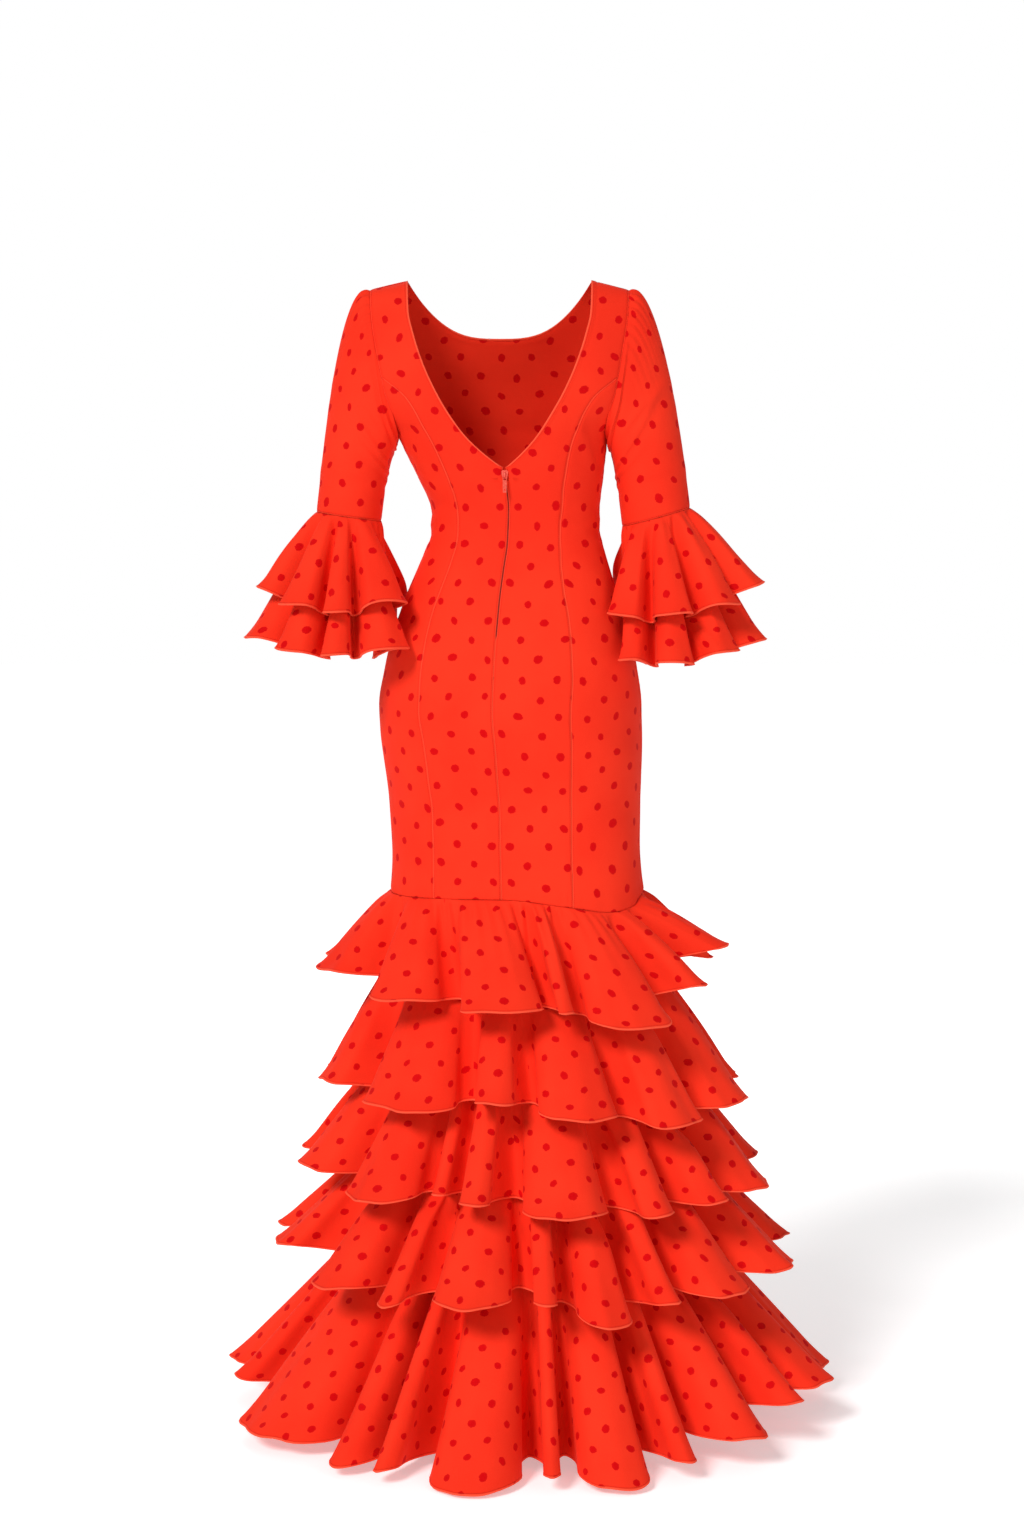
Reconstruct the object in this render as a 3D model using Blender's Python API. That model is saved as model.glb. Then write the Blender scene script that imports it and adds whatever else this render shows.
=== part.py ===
"""A long fitted flamenco dress in its worn form, built from the pieces a maker cuts and sews.

Metres, +Z up. The front faces -Y, the back faces +Y, and the wearer's left is +X. The origin is
midway between the tops of the two shoulder seams, where the wearer's shoulders carry the dress.

Every cloth piece is a grid of points, given its wall by a Solidify modifier. A grid's rows go
down the body and its columns go round it. Angles round the body are in degrees, from the left
side seam (0) through the centre back (90) and the right side seam (180) to the centre front
(270).
"""

import math
from collections import namedtuple

import bmesh
import bpy
import numpy as np
from mathutils import Matrix, Vector

# Driving dimensions
PANEL_WALL = 0.0015
FLOUNCE_WALL = 0.0012
BASE_WALL = 0.0010
TAPE_WALL = 0.0008
SEAM_GAP = 0.0004
KNEE_GAP = 0.0007
SEAM_STEP = 0.0011

SHOULDER_X = 0.184
SHOULDER_SLOPE = 0.25
NECK_X = 0.1185
NECK_SHIFT = 0.003
UNDERARM_Z = -0.195
PRINCESS_TOP_Z = -0.125
V_POINT_Z = -0.238
SKIRT_SEAM_Z = -0.790
FRONT_NECK_DEPTH = 0.072
ZIP_END_Z = -0.455
FLOOR_Z = -1.478

# The body tube. z is the height of the section; half_width is at the side seams; back and front
# are the depths behind and before the centre; square is the exponent of its rounded outline;
# turn is how far the section is turned, back towards the left, in degrees.
Section = namedtuple("Section", "z half_width back front centre_x square turn")
BODY = (
    Section(0.000, 0.184, 0.0012, 0.0012, 0.000, 2.6, 0.0),
    Section(-0.004, 0.184, 0.015, 0.014, 0.000, 2.6, 0.0),
    Section(-0.012, 0.184, 0.028, 0.026, 0.000, 2.6, 0.0),
    Section(-0.030, 0.184, 0.045, 0.042, 0.000, 2.6, 0.0),
    Section(-0.060, 0.183, 0.063, 0.060, 0.000, 2.6, 0.0),
    Section(-0.100, 0.179, 0.079, 0.081, 0.000, 2.6, 0.0),
    Section(-0.140, 0.171, 0.088, 0.099, -0.001, 2.6, 0.5),
    Section(-0.170, 0.156, 0.091, 0.108, -0.002, 2.5, 1.0),
    Section(-0.195, 0.1370, 0.091, 0.113, -0.004, 2.4, 1.5),
    Section(-0.225, 0.1275, 0.088, 0.114, -0.009, 2.35, 3.0),
    Section(-0.255, 0.1190, 0.083, 0.109, -0.0145, 2.3, 4.5),
    Section(-0.295, 0.1090, 0.074, 0.099, -0.0200, 2.3, 6.5),
    Section(-0.3175, 0.1086, 0.072, 0.096, -0.0202, 2.3, 7.5),
    Section(-0.3355, 0.1120, 0.075, 0.097, -0.0203, 2.3, 8.0),
    Section(-0.3600, 0.1215, 0.083, 0.101, -0.0185, 2.3, 8.5),
    Section(-0.4110, 0.1405, 0.101, 0.107, -0.0160, 2.3, 9.5),
    Section(-0.4970, 0.1645, 0.123, 0.109, -0.0150, 2.3, 10.5),
    Section(-0.5460, 0.1712, 0.127, 0.107, -0.0140, 2.3, 10.5),
    Section(-0.6030, 0.1698, 0.122, 0.105, -0.0165, 2.3, 10.0),
    Section(-0.6760, 0.1640, 0.111, 0.103, -0.0195, 2.3, 10.0),
    Section(-0.7320, 0.1630, 0.107, 0.104, -0.0208, 2.3, 10.5),
    Section(-0.7900, 0.1655, 0.109, 0.108, -0.0222, 2.3, 10.5),
)
BUST_FULLNESS = 0.013
BUST_X = 0.066
BUST_Z = -0.232
BUST_SPREAD_X = 0.048
BUST_SPREAD_Z = 0.050

# How far each seam is from the middle of the back or front, across the body.
Seam = namedtuple("Seam", "z back front")
PRINCESS = (
    Seam(-0.125, 0.1500, 0.1410),
    Seam(-0.150, 0.1200, 0.1120),
    Seam(-0.186, 0.0990, 0.0920),
    Seam(-0.213, 0.0871, 0.0820),
    Seam(-0.250, 0.0757, 0.0740),
    Seam(-0.276, 0.0695, 0.0680),
    Seam(-0.320, 0.0655, 0.0620),
    Seam(-0.352, 0.0697, 0.0650),
    Seam(-0.390, 0.0786, 0.0720),
    Seam(-0.427, 0.0885, 0.0800),
    Seam(-0.469, 0.0957, 0.0870),
    Seam(-0.513, 0.0992, 0.0910),
    Seam(-0.585, 0.0967, 0.0920),
    Seam(-0.690, 0.0905, 0.0900),
    Seam(-0.790, 0.0912, 0.0900),
)
# The knee seam isn't level: how far it drops at each angle.
Drop = namedtuple("Drop", "angle fall")
KNEE_DROPS = (
    Drop(0, 0.000),
    Drop(25, 0.003),
    Drop(60, 0.001),
    Drop(90, -0.001),
    Drop(115, 0.007),
    Drop(145, 0.017),
    Drop(163, 0.013),
    Drop(180, 0.000),
    Drop(360, 0.000),
)
KNEE_DROP_START_Z = -0.690
# The V of the back neck: its half width at each height.
Neck = namedtuple("Neck", "z half_width")
BACK_NECK = (
    Neck(0.000, 0.1180),
    Neck(-0.040, 0.1160),
    Neck(-0.070, 0.1090),
    Neck(-0.105, 0.0975),
    Neck(-0.140, 0.0820),
    Neck(-0.170, 0.0650),
    Neck(-0.200, 0.0440),
    Neck(-0.222, 0.0225),
    Neck(-0.238, 0.0034),
)
# The armhole: how far its edge is from the side line, in degrees, behind and before.
Armhole = namedtuple("Armhole", "z back front")
ARMHOLE = (
    Armhole(0.000, 28.5, 28.5),
    Armhole(-0.025, 29.5, 31.0),
    Armhole(-0.055, 31.0, 34.0),
    Armhole(-0.090, 33.0, 36.5),
    Armhole(-0.125, 34.0, 37.0),
    Armhole(-0.150, 33.0, 36.0),
    Armhole(-0.170, 29.5, 32.0),
    Armhole(-0.184, 22.0, 24.0),
    Armhole(-0.192, 12.0, 13.0),
    Armhole(-0.195, 0.0, 0.0),
)
BODY_ROWS = (
    -0.790, -0.705, -0.620, -0.546, -0.480, -0.415, -0.360, -0.3175, -0.280, -0.252, -0.238,
    -0.215, -0.195, -0.184, -0.170, -0.150, -0.125, -0.090, -0.055, -0.025, -0.008, 0.0,
)  # fmt: skip
COLUMNS = {"back_centre": 3, "back_side": 3, "front_side": 3}
FRONT_COLUMNS = (0.0, 0.28, 0.56, 0.78, 1.0)
FRONT_NECK_SHARE = 0.56

# Zip slit: half its width beside the slider, and below it.
SLIT_AT_SLIDER = 0.0022
SLIT_BELOW = 0.0010
SLIDER_END_Z = -0.252

# The sleeve's lower end, on the left (+X) and on the right.
Cuff = namedtuple("Cuff", "side x y z half_width half_depth outer_rise")
CUFFS = {
    "left": Cuff(1, 0.1950, 0.004, -0.3020, 0.0420, 0.0455, 0.0060),
    "right": Cuff(-1, -0.2025, 0.004, -0.3030, 0.0440, 0.0460, 0.0120),
}
SLEEVE_ROWS = (0.0, 0.06, 0.16, 0.32, 0.52, 0.76, 1.0)
HEAD_OUT = 0.125
HEAD_UP = 0.030
SLEEVE_FALL = 0.27

# A fold of a flounce. angle is where its crest stands and edge is where the hollow after it lies,
# in degrees; reach is how far out the crest comes and hollow how deep the hollow after it goes, as
# shares of the hem's half axes; before and after are how far each side of the fold curls over,
# as shares of its half width; hem_z is the height of the hem at the crest.
Fold = namedtuple("Fold", "angle edge reach hollow before after hem_z")
# A flounce: the height, the middle and the half axes of its seam and of its hem.
Flounce = namedtuple(
    "Flounce", "seam_z seam_x seam_y seam_a seam_back seam_front hem_x hem_y hem_a hem_back hem_front"
)
TIERS = (
    Flounce(-0.7906, -0.0222, 0.0, 0.1655, 0.109, 0.108, -0.0265, 0.0, 0.2655, 0.218, 0.208),
    Flounce(-0.8800, -0.0290, 0.0, 0.1725, 0.130, 0.128, -0.0430, 0.0, 0.2805, 0.248, 0.240),
    Flounce(-1.0000, -0.0350, 0.0, 0.1845, 0.152, 0.149, -0.0410, 0.0, 0.3080, 0.276, 0.268),
    Flounce(-1.1180, -0.0400, 0.0, 0.1975, 0.172, 0.168, -0.0440, 0.0, 0.3440, 0.318, 0.308),
    Flounce(-1.2360, -0.0430, 0.0, 0.2125, 0.193, 0.189, -0.0450, 0.0, 0.3970, 0.385, 0.372),
)
TIER_FOLDS = (
    (
        Fold(15, 35, 1.00, 0.78, 0.20, 0.10, -0.884),
        Fold(50, 66, 1.00, 0.78, 0.20, 0.24, -0.908),
        Fold(81, 98, 1.02, 0.80, 0.10, 0.34, -0.915),
        Fold(103, 109, 0.98, 0.82, 0.05, 0.10, -0.918),
        Fold(126, 143, 1.04, 0.78, 0.24, 0.22, -0.940),
        Fold(151, 159, 1.00, 0.80, 0.10, 0.18, -0.899),
        Fold(169, 184, 1.02, 0.78, 0.15, 0.20, -0.858),
        Fold(198, 213, 0.98, 0.80, 0.20, 0.12, -0.890),
        Fold(229, 246, 1.00, 0.78, 0.16, 0.26, -0.912),
        Fold(259, 272, 1.02, 0.80, 0.12, 0.20, -0.922),
        Fold(287, 302, 1.00, 0.78, 0.20, 0.22, -0.926),
        Fold(319, 335, 1.01, 0.80, 0.14, 0.24, -0.908),
        Fold(347, 359, 0.97, 0.80, 0.15, 0.15, -0.880),
    ),
    (
        Fold(14, 29, 1.00, 0.78, 0.20, 0.14, -1.031),
        Fold(50, 69, 1.00, 0.80, 0.22, 0.20, -1.043),
        Fold(79, 89, 0.97, 0.79, 0.12, 0.14, -1.026),
        Fold(103, 117, 1.00, 0.80, 0.22, 0.32, -1.046),
        Fold(131, 147, 1.02, 0.78, 0.12, 0.24, -1.064),
        Fold(163, 180, 1.01, 0.80, 0.22, 0.20, -1.057),
        Fold(196, 212, 0.99, 0.78, 0.16, 0.24, -1.046),
        Fold(228, 244, 1.01, 0.80, 0.20, 0.16, -1.040),
        Fold(259, 274, 1.00, 0.78, 0.16, 0.26, -1.052),
        Fold(290, 305, 1.01, 0.80, 0.12, 0.22, -1.048),
        Fold(321, 337, 1.00, 0.78, 0.22, 0.16, -1.040),
        Fold(349, 361, 0.97, 0.79, 0.16, 0.16, -1.030),
    ),
    (
        Fold(16, 31, 1.00, 0.80, 0.18, 0.20, -1.139),
        Fold(45, 60, 1.00, 0.81, 0.22, 0.16, -1.158),
        Fold(64, 69, 0.90, 0.80, 0.05, 0.05, -1.146),
        Fold(76, 84, 1.00, 0.79, 0.16, 0.16, -1.149),
        Fold(99, 113, 1.02, 0.80, 0.26, 0.32, -1.163),
        Fold(122, 132, 1.00, 0.80, 0.10, 0.20, -1.171),
        Fold(141, 151, 1.00, 0.79, 0.18, 0.20, -1.166),
        Fold(164, 180, 1.02, 0.80, 0.22, 0.18, -1.168),
        Fold(195, 210, 1.00, 0.78, 0.20, 0.16, -1.156),
        Fold(226, 243, 1.01, 0.80, 0.14, 0.26, -1.164),
        Fold(257, 271, 1.00, 0.79, 0.16, 0.20, -1.158),
        Fold(287, 303, 1.02, 0.80, 0.20, 0.22, -1.166),
        Fold(318, 333, 1.00, 0.78, 0.16, 0.24, -1.156),
        Fold(347, 361, 1.00, 0.80, 0.20, 0.16, -1.142),
    ),
    (
        Fold(16, 27, 1.00, 0.82, 0.18, 0.10, -1.238),
        Fold(40, 51, 1.01, 0.80, 0.34, 0.14, -1.268),
        Fold(57, 63, 1.00, 0.83, 0.14, 0.12, -1.275),
        Fold(75, 86, 1.00, 0.79, 0.30, 0.34, -1.268),
        Fold(92, 98, 0.99, 0.82, 0.05, 0.10, -1.262),
        Fold(106, 115, 1.02, 0.80, 0.18, 0.22, -1.293),
        Fold(120, 127, 0.99, 0.80, 0.08, 0.14, -1.272),
        Fold(138, 150, 1.01, 0.78, 0.22, 0.18, -1.274),
        Fold(163, 177, 1.01, 0.80, 0.20, 0.20, -1.270),
        Fold(192, 207, 1.00, 0.78, 0.18, 0.22, -1.264),
        Fold(221, 235, 1.00, 0.80, 0.14, 0.18, -1.276),
        Fold(250, 265, 1.01, 0.78, 0.22, 0.26, -1.270),
        Fold(279, 293, 1.00, 0.80, 0.12, 0.18, -1.280),
        Fold(308, 323, 1.01, 0.78, 0.20, 0.24, -1.270),
        Fold(335, 347, 0.99, 0.80, 0.14, 0.18, -1.258),
        Fold(355, 364, 0.98, 0.81, 0.14, 0.12, -1.240),
    ),
    (
        Fold(6, 12, 0.99, 0.82, 0.16, 0.12, -1.431),
        Fold(28, 45, 1.03, 0.78, 0.28, 0.20, -1.461),
        Fold(51, 57, 1.00, 0.80, 0.18, 0.18, -1.470),
        Fold(61, 66, 1.00, 0.76, 0.12, 0.18, -1.464),
        Fold(78, 89, 1.02, 0.77, 0.28, 0.26, -1.478),
        Fold(93, 97, 0.96, 0.80, 0.10, 0.10, -1.460),
        Fold(106, 115, 1.01, 0.78, 0.22, 0.22, -1.474),
        Fold(119, 125, 0.98, 0.76, 0.14, 0.18, -1.456),
        Fold(134, 142, 1.01, 0.80, 0.22, 0.20, -1.441),
        Fold(147, 153, 1.00, 0.80, 0.14, 0.18, -1.418),
        Fold(163, 176, 1.00, 0.78, 0.18, 0.20, -1.418),
        Fold(190, 204, 1.00, 0.78, 0.20, 0.20, -1.440),
        Fold(217, 230, 1.01, 0.78, 0.18, 0.24, -1.466),
        Fold(243, 256, 1.00, 0.77, 0.20, 0.20, -1.474),
        Fold(269, 282, 1.02, 0.78, 0.18, 0.24, -1.478),
        Fold(295, 308, 1.00, 0.77, 0.22, 0.18, -1.474),
        Fold(320, 333, 1.01, 0.78, 0.18, 0.22, -1.458),
        Fold(347, 360, 1.04, 0.80, 0.20, 0.20, -1.436),
    ),
)
# The sleeve flounces, about the wrist's axis. Angles are from the outer side (0) through the back
# (90) to the side facing the hip (180).
WRIST_FLOUNCES = {
    "upper_left": Flounce(0, 0.1950, 0.004, 0.0420, 0.0455, 0.0455, 0.1950, 0.006, 0.119, 0.106, 0.096),
    "lower_left": Flounce(0, 0.1950, 0.004, 0.0402, 0.0437, 0.0437, 0.1950, 0.006, 0.131, 0.114, 0.106),
    "upper_right": Flounce(0, -0.2025, 0.004, 0.0440, 0.0460, 0.0460, -0.2125, 0.006, 0.126, 0.106, 0.096),
    "lower_right": Flounce(0, -0.2025, 0.004, 0.0422, 0.0442, 0.0442, -0.2150, 0.006, 0.124, 0.114, 0.106),
}
WRIST_FOLDS = {
    "upper_left": (
        Fold(14, 37, 1.00, 0.68, 0.16, 0.12, -0.392),
        Fold(54, 70, 1.02, 0.68, 0.20, 0.20, -0.412),
        Fold(84, 97, 1.00, 0.68, 0.16, 0.20, -0.419),
        Fold(118, 142, 1.02, 0.52, 0.14, 0.10, -0.408),
        Fold(176, 208, 0.46, 0.44, 0.04, 0.04, -0.420),
        Fold(236, 255, 0.96, 0.66, 0.16, 0.20, -0.410),
        Fold(277, 297, 1.00, 0.68, 0.20, 0.16, -0.412),
        Fold(321, 344, 1.00, 0.68, 0.16, 0.18, -0.398),
    ),
    "lower_left": (
        Fold(13, 37, 1.01, 0.60, 0.20, 0.18, -0.456),
        Fold(53, 70, 1.02, 0.58, 0.14, 0.22, -0.468),
        Fold(83, 97, 1.00, 0.58, 0.20, 0.18, -0.475),
        Fold(116, 142, 1.02, 0.40, 0.16, 0.10, -0.466),
        Fold(176, 208, 0.32, 0.34, 0.04, 0.04, -0.478),
        Fold(235, 255, 0.94, 0.56, 0.16, 0.18, -0.470),
        Fold(276, 297, 1.00, 0.58, 0.20, 0.20, -0.468),
        Fold(320, 344, 1.00, 0.60, 0.16, 0.18, -0.458),
    ),
    "upper_right": (
        Fold(12, 32, 1.02, 0.68, 0.16, 0.18, -0.388),
        Fold(49, 68, 1.00, 0.66, 0.18, 0.20, -0.410),
        Fold(86, 103, 1.00, 0.68, 0.20, 0.16, -0.423),
        Fold(119, 139, 1.00, 0.52, 0.14, 0.10, -0.424),
        Fold(176, 208, 0.42, 0.42, 0.04, 0.04, -0.424),
        Fold(236, 255, 0.92, 0.64, 0.16, 0.20, -0.414),
        Fold(277, 297, 1.00, 0.68, 0.20, 0.16, -0.412),
        Fold(321, 345, 1.00, 0.68, 0.16, 0.18, -0.394),
    ),
    "lower_right": (
        Fold(13, 32, 1.01, 0.60, 0.18, 0.20, -0.460),
        Fold(51, 68, 1.00, 0.58, 0.16, 0.20, -0.472),
        Fold(85, 103, 1.02, 0.58, 0.20, 0.18, -0.484),
        Fold(118, 139, 1.00, 0.40, 0.14, 0.10, -0.480),
        Fold(176, 208, 0.30, 0.32, 0.04, 0.04, -0.480),
        Fold(234, 255, 0.92, 0.54, 0.16, 0.18, -0.474),
        Fold(277, 297, 0.98, 0.58, 0.16, 0.16, -0.470),
        Fold(321, 345, 0.98, 0.60, 0.12, 0.18, -0.462),
    ),
}
# Where points are set across each fold, from the hollow before it (-1) to the hollow after it (1).
FOLD_STEPS = (-1.0, -0.72, -0.34, 0.34, 0.72)
SMALL_FOLD_STEPS = (-1.0, -0.55, 0.55)
SMALL_FOLD = 13.0
TIER_ROWS = (0.0, 0.35, 1.0)
WRIST_ROWS = (0.0, 0.40, 1.0)
# The share of each fold's curl that the solid keeps, and how far a crest bows out.
CURL_KEPT = 0.45
SPREAD = (0.24, 0.0, 0.0, 0.0, 0.0)
WRIST_SPREAD = {"upper": 0.20, "lower": -0.12}
# How far each wrist flounce stays from the hip, and over what distance it turns to follow it.
HIP_CLEARANCE = {"upper": 0.0060, "lower": 0.0115}
HIP_EASE = 0.0050

# The underskirt that the lower tiers are sewn to: its section at each height.
Hoop = namedtuple("Hoop", "z middle_x half_width back front")
UNDERSKIRT = (
    Hoop(-0.7906, -0.0222, 0.1638, 0.1073, 0.1063),
    Hoop(-0.8800, -0.0290, 0.1700, 0.1275, 0.1255),
    Hoop(-1.0000, -0.0350, 0.1820, 0.1495, 0.1465),
    Hoop(-1.1180, -0.0400, 0.1950, 0.1695, 0.1655),
    Hoop(-1.2390, -0.0430, 0.2095, 0.1900, 0.1860),
)
UNDERSKIRT_COLUMNS = 28

# The zip's slider and pull, in the slider's own frame: along runs down the back, across runs to
# the wearer's right and out runs away from the cloth.
SLIDER_Z = -0.2470
SLIDER_LENGTH = 0.0110
SLIDER_WIDTH = 0.0086
SLIDER_NOSE = 0.0052
SLIDER_THICKNESS = 0.0016
SLIDER_OFF_CLOTH = 0.0008
ARCH_LENGTH = 0.0078
ARCH_HEIGHT = 0.0040
ARCH_BAR = 0.0011
ARCH_WIDTH = 0.0018
PIVOT_OUT = 0.0017
PULL_LENGTH = 0.0225
PULL_WIDTH = 0.0056
PULL_THICKNESS = 0.0012
PULL_SLOT_WIDTH = 0.0032
PULL_SLOT_LENGTH = 0.0068
PULL_EYE_BACK = 0.0007
PULL_HOLE = 0.0011
PULL_TIP_SHARE = 0.86
NECK_HALF = 0.0007
INNER_PLATE_DEPTH = 0.0046
TAPE_EDGE = 0.0006
TAPE_AT_SLIDER = 0.0016
TAPE_WIDTH = 0.0125
TAPE_END_Z = -0.4620

CLOTH = (0.93, 0.055, 0.028)
TAPE_COLOUR = (0.30, 0.05, 0.04)
METAL = (0.78, 0.09, 0.05)


def table(rows, z, column):
    """The value of a table's column at height z."""
    ordered = sorted(rows, key=lambda row: row.z)
    heights = [row.z for row in ordered]
    values = [getattr(row, column) for row in ordered]
    return float(np.interp(z, heights, values))


def section_at(z):
    return Section(z, *(table(BODY, z, name) for name in Section._fields[1:]))


def body_point(angle, z):
    """A point on the outside of the body cloth."""
    section = section_at(z)
    turn = math.radians(section.turn)
    cosine = math.cos(math.radians(angle))
    sine = math.sin(math.radians(angle))
    power = 2.0 / section.square
    x = section.half_width * math.copysign(abs(cosine) ** power, cosine)
    depth = section.back if sine > 0 else section.front
    y = depth * math.copysign(abs(sine) ** power, sine)
    if y < 0:
        for side in (-1, 1):
            across = (x - side * BUST_X) / BUST_SPREAD_X
            up = (z - BUST_Z) / BUST_SPREAD_Z
            y -= BUST_FULLNESS * math.exp(-across * across - up * up)
    fall = SHOULDER_SLOPE * max(0.0, abs(x) - NECK_X) * max(0.0, 1.0 + z / 0.12)
    if z < KNEE_DROP_START_Z:
        angles = [drop.angle for drop in KNEE_DROPS]
        drop = np.interp(angle % 360.0, angles, [drop.fall for drop in KNEE_DROPS])
        fall += drop * (KNEE_DROP_START_Z - z) / (KNEE_DROP_START_Z - SKIRT_SEAM_Z)
    return Vector((
        section.centre_x + x * math.cos(turn) + y * math.sin(turn),
        y * math.cos(turn) - x * math.sin(turn),
        z - fall,
    ))


def body_inward(angle, z):
    """The direction into the body from its cloth, with one-sided steps at the shoulder."""
    across = body_point(angle + 1.5, z) - body_point(angle - 1.5, z)
    down = body_point(angle, z - 0.003) - body_point(angle, min(0.0, z + 0.003))
    return across.cross(down).normalized()


def angle_at(z, across):
    """The angle from the side line of the place this far from the middle of the back or front."""
    section = section_at(z)
    share = min(0.9999, abs(across) / section.half_width)
    return math.degrees(math.acos(share ** (section.square / 2.0)))


def princess_angle(z, face):
    return angle_at(z, table(PRINCESS, z, face))


def armhole_angle(z, face):
    return table(ARMHOLE, z, face)


def slit_half(z):
    if z > SLIDER_END_Z:
        return SLIT_AT_SLIDER
    if z > ZIP_END_Z:
        return SLIT_BELOW
    return SEAM_GAP / 2


def centre_angle(z):
    """The angle from the side line of the back opening's edge: the neck's V, then the zip's slit."""
    if z > V_POINT_Z:
        return angle_at(z, table(BACK_NECK, z, "half_width"))
    return angle_at(z, slit_half(z))


def gap_angle(z):
    """Half a seam's gap, as an angle."""
    section = section_at(z)
    size = (section.half_width + section.back + section.front) / 3
    return math.degrees(SEAM_GAP / 2 / max(size, 0.05))


def unit(vectors):
    return vectors / np.linalg.norm(vectors, axis=-1, keepdims=True)


def ring_inward(points):
    """The inward step at each point of a closed grid, longer at a crease to keep the wall even."""
    down = np.gradient(points, axis=0)
    after = unit(np.cross(np.roll(points, -1, axis=1) - points, down))
    before = np.roll(after, 1, axis=1)
    inward = unit(after + before)
    lengthen = 1.0 / np.clip((inward * after).sum(axis=2, keepdims=True), 0.55, 1.0)
    return inward * lengthen


def cloth_object(name, points, wall, colour, inward=None, closed_round=False):
    """A solid sheet: its outer face is the grid of points, and its wall goes inward."""
    rows, columns = points.shape[:2]
    if inward is None:
        inward = ring_inward(points)
    inner = points + inward * wall
    mesh = bpy.data.meshes.new(name)
    shape = bmesh.new()
    outside = [[shape.verts.new(point) for point in row] for row in points]
    inside = [[shape.verts.new(point) for point in row] for row in inner]
    last = columns if closed_round else columns - 1
    for i in range(rows - 1):
        for j in range(last):
            k = (j + 1) % columns
            # Both faces take the same diagonal, so that the wall keeps its thickness.
            shape.faces.new((outside[i][j], outside[i][k], outside[i + 1][k]))
            shape.faces.new((outside[i][j], outside[i + 1][k], outside[i + 1][j]))
            shape.faces.new((inside[i][j], inside[i + 1][k], inside[i][k]))
            shape.faces.new((inside[i][j], inside[i + 1][j], inside[i + 1][k]))
    for j in range(last):
        k = (j + 1) % columns
        shape.faces.new((outside[0][k], outside[0][j], inside[0][j], inside[0][k]))
        shape.faces.new((outside[-1][j], outside[-1][k], inside[-1][k], inside[-1][j]))
    if not closed_round:
        for i in range(rows - 1):
            shape.faces.new((outside[i][0], outside[i + 1][0], inside[i + 1][0], inside[i][0]))
            shape.faces.new((outside[i + 1][-1], outside[i][-1], inside[i][-1], inside[i + 1][-1]))
    bmesh.ops.recalc_face_normals(shape, faces=shape.faces)
    if shape.calc_volume(signed=True) < 0:
        bmesh.ops.reverse_faces(shape, faces=shape.faces)
    for face in shape.faces:
        face.smooth = True
    shape.to_mesh(mesh)
    shape.free()
    return add_object(name, mesh, colour, 0.85, 0.0)


def add_object(name, mesh, colour, roughness, metallic):
    thing = bpy.data.objects.new(name, mesh)
    bpy.context.scene.collection.objects.link(thing)
    material = bpy.data.materials.new(name)
    material.use_nodes = True
    shader = material.node_tree.nodes["Principled BSDF"]
    shader.inputs["Base Color"].default_value = (*colour, 1.0)
    shader.inputs["Roughness"].default_value = roughness
    shader.inputs["Metallic"].default_value = metallic
    mesh.materials.append(material)
    return thing


def panel_grid(first_edge, second_edge, rows, steps):
    """A grid over the body between two seams, each a function of the height."""
    grid = []
    for z in rows:
        first = first_edge(z)
        second = second_edge(z)
        grid.append([(first + (second - first) * share, z) for share in steps])
    return grid


def add_panel(name, grid):
    """A cloth piece of the body, from a grid of angles and heights."""
    points = np.array([[body_point(*place) for place in row] for row in grid])
    inward = np.array([[body_inward(*place) for place in row] for row in grid])
    cloth_object(name, points, PANEL_WALL, CLOTH, inward)


def even(count):
    return [i / count for i in range(count + 1)]


def back_outer(z, side):
    """The outer edge of a back panel: the princess seam, then the armhole."""
    if z <= PRINCESS_TOP_Z:
        angle = princess_angle(z, "back") + gap_angle(z)
    else:
        angle = armhole_angle(z, "back")
    return angle if side > 0 else 180.0 - angle


def back_inner(z, side):
    angle = centre_angle(z)
    return angle if side > 0 else 180.0 - angle


def side_edge(z, face, side):
    """The armhole's edge of a side panel, then its side seam."""
    if z >= UNDERARM_Z:
        angle = armhole_angle(z, face)
    else:
        angle = 0.0
    angle = max(angle, gap_angle(z))
    if face == "front":
        return 360.0 - angle if side > 0 else 180.0 + angle
    return angle if side > 0 else 180.0 - angle


def side_inner(z, face, side):
    angle = princess_angle(z, face) - gap_angle(z)
    if face == "front":
        return 360.0 - angle if side > 0 else 180.0 + angle
    return angle if side > 0 else 180.0 - angle


def make_body():
    lower = [z for z in BODY_ROWS if z <= PRINCESS_TOP_Z]
    for name, side in (("left", 1), ("right", -1)):
        grid = panel_grid(
            lambda z, s=side: back_inner(z, s),
            lambda z, s=side: back_outer(z, s),
            BODY_ROWS,
            even(COLUMNS["back_centre"]),
        )
        add_panel("back_centre_" + name, grid)
        for face in ("back", "front"):
            grid = panel_grid(
                lambda z, s=side, f=face: side_inner(z, f, s),
                lambda z, s=side, f=face: side_edge(z, f, s),
                lower,
                even(COLUMNS[face + "_side"]),
            )
            add_panel(f"{face}_side_{name}", grid)
    add_panel("front_centre", front_centre_grid())


def front_centre_grid():
    """One piece from princess seam to princess seam, its neckline hollowed from the shoulders."""
    shares = [-share for share in reversed(FRONT_COLUMNS[1:])] + list(FRONT_COLUMNS)
    grid = []
    for z in BODY_ROWS:
        row = []
        for share in shares:
            height = z
            inside = min(1.0, abs(share) / FRONT_NECK_SHARE)
            top = -FRONT_NECK_DEPTH * (1.0 - inside**2.4)
            if z > PRINCESS_TOP_Z:
                height = PRINCESS_TOP_Z + (z - PRINCESS_TOP_Z) * (top / -PRINCESS_TOP_Z + 1.0)
            if height <= PRINCESS_TOP_Z:
                edge = princess_angle(height, "front") + gap_angle(height)
            else:
                edge = armhole_angle(height, "front")
            row.append((270.0 + share * (90.0 - edge), height))
        grid.append(row)
    return grid


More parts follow.
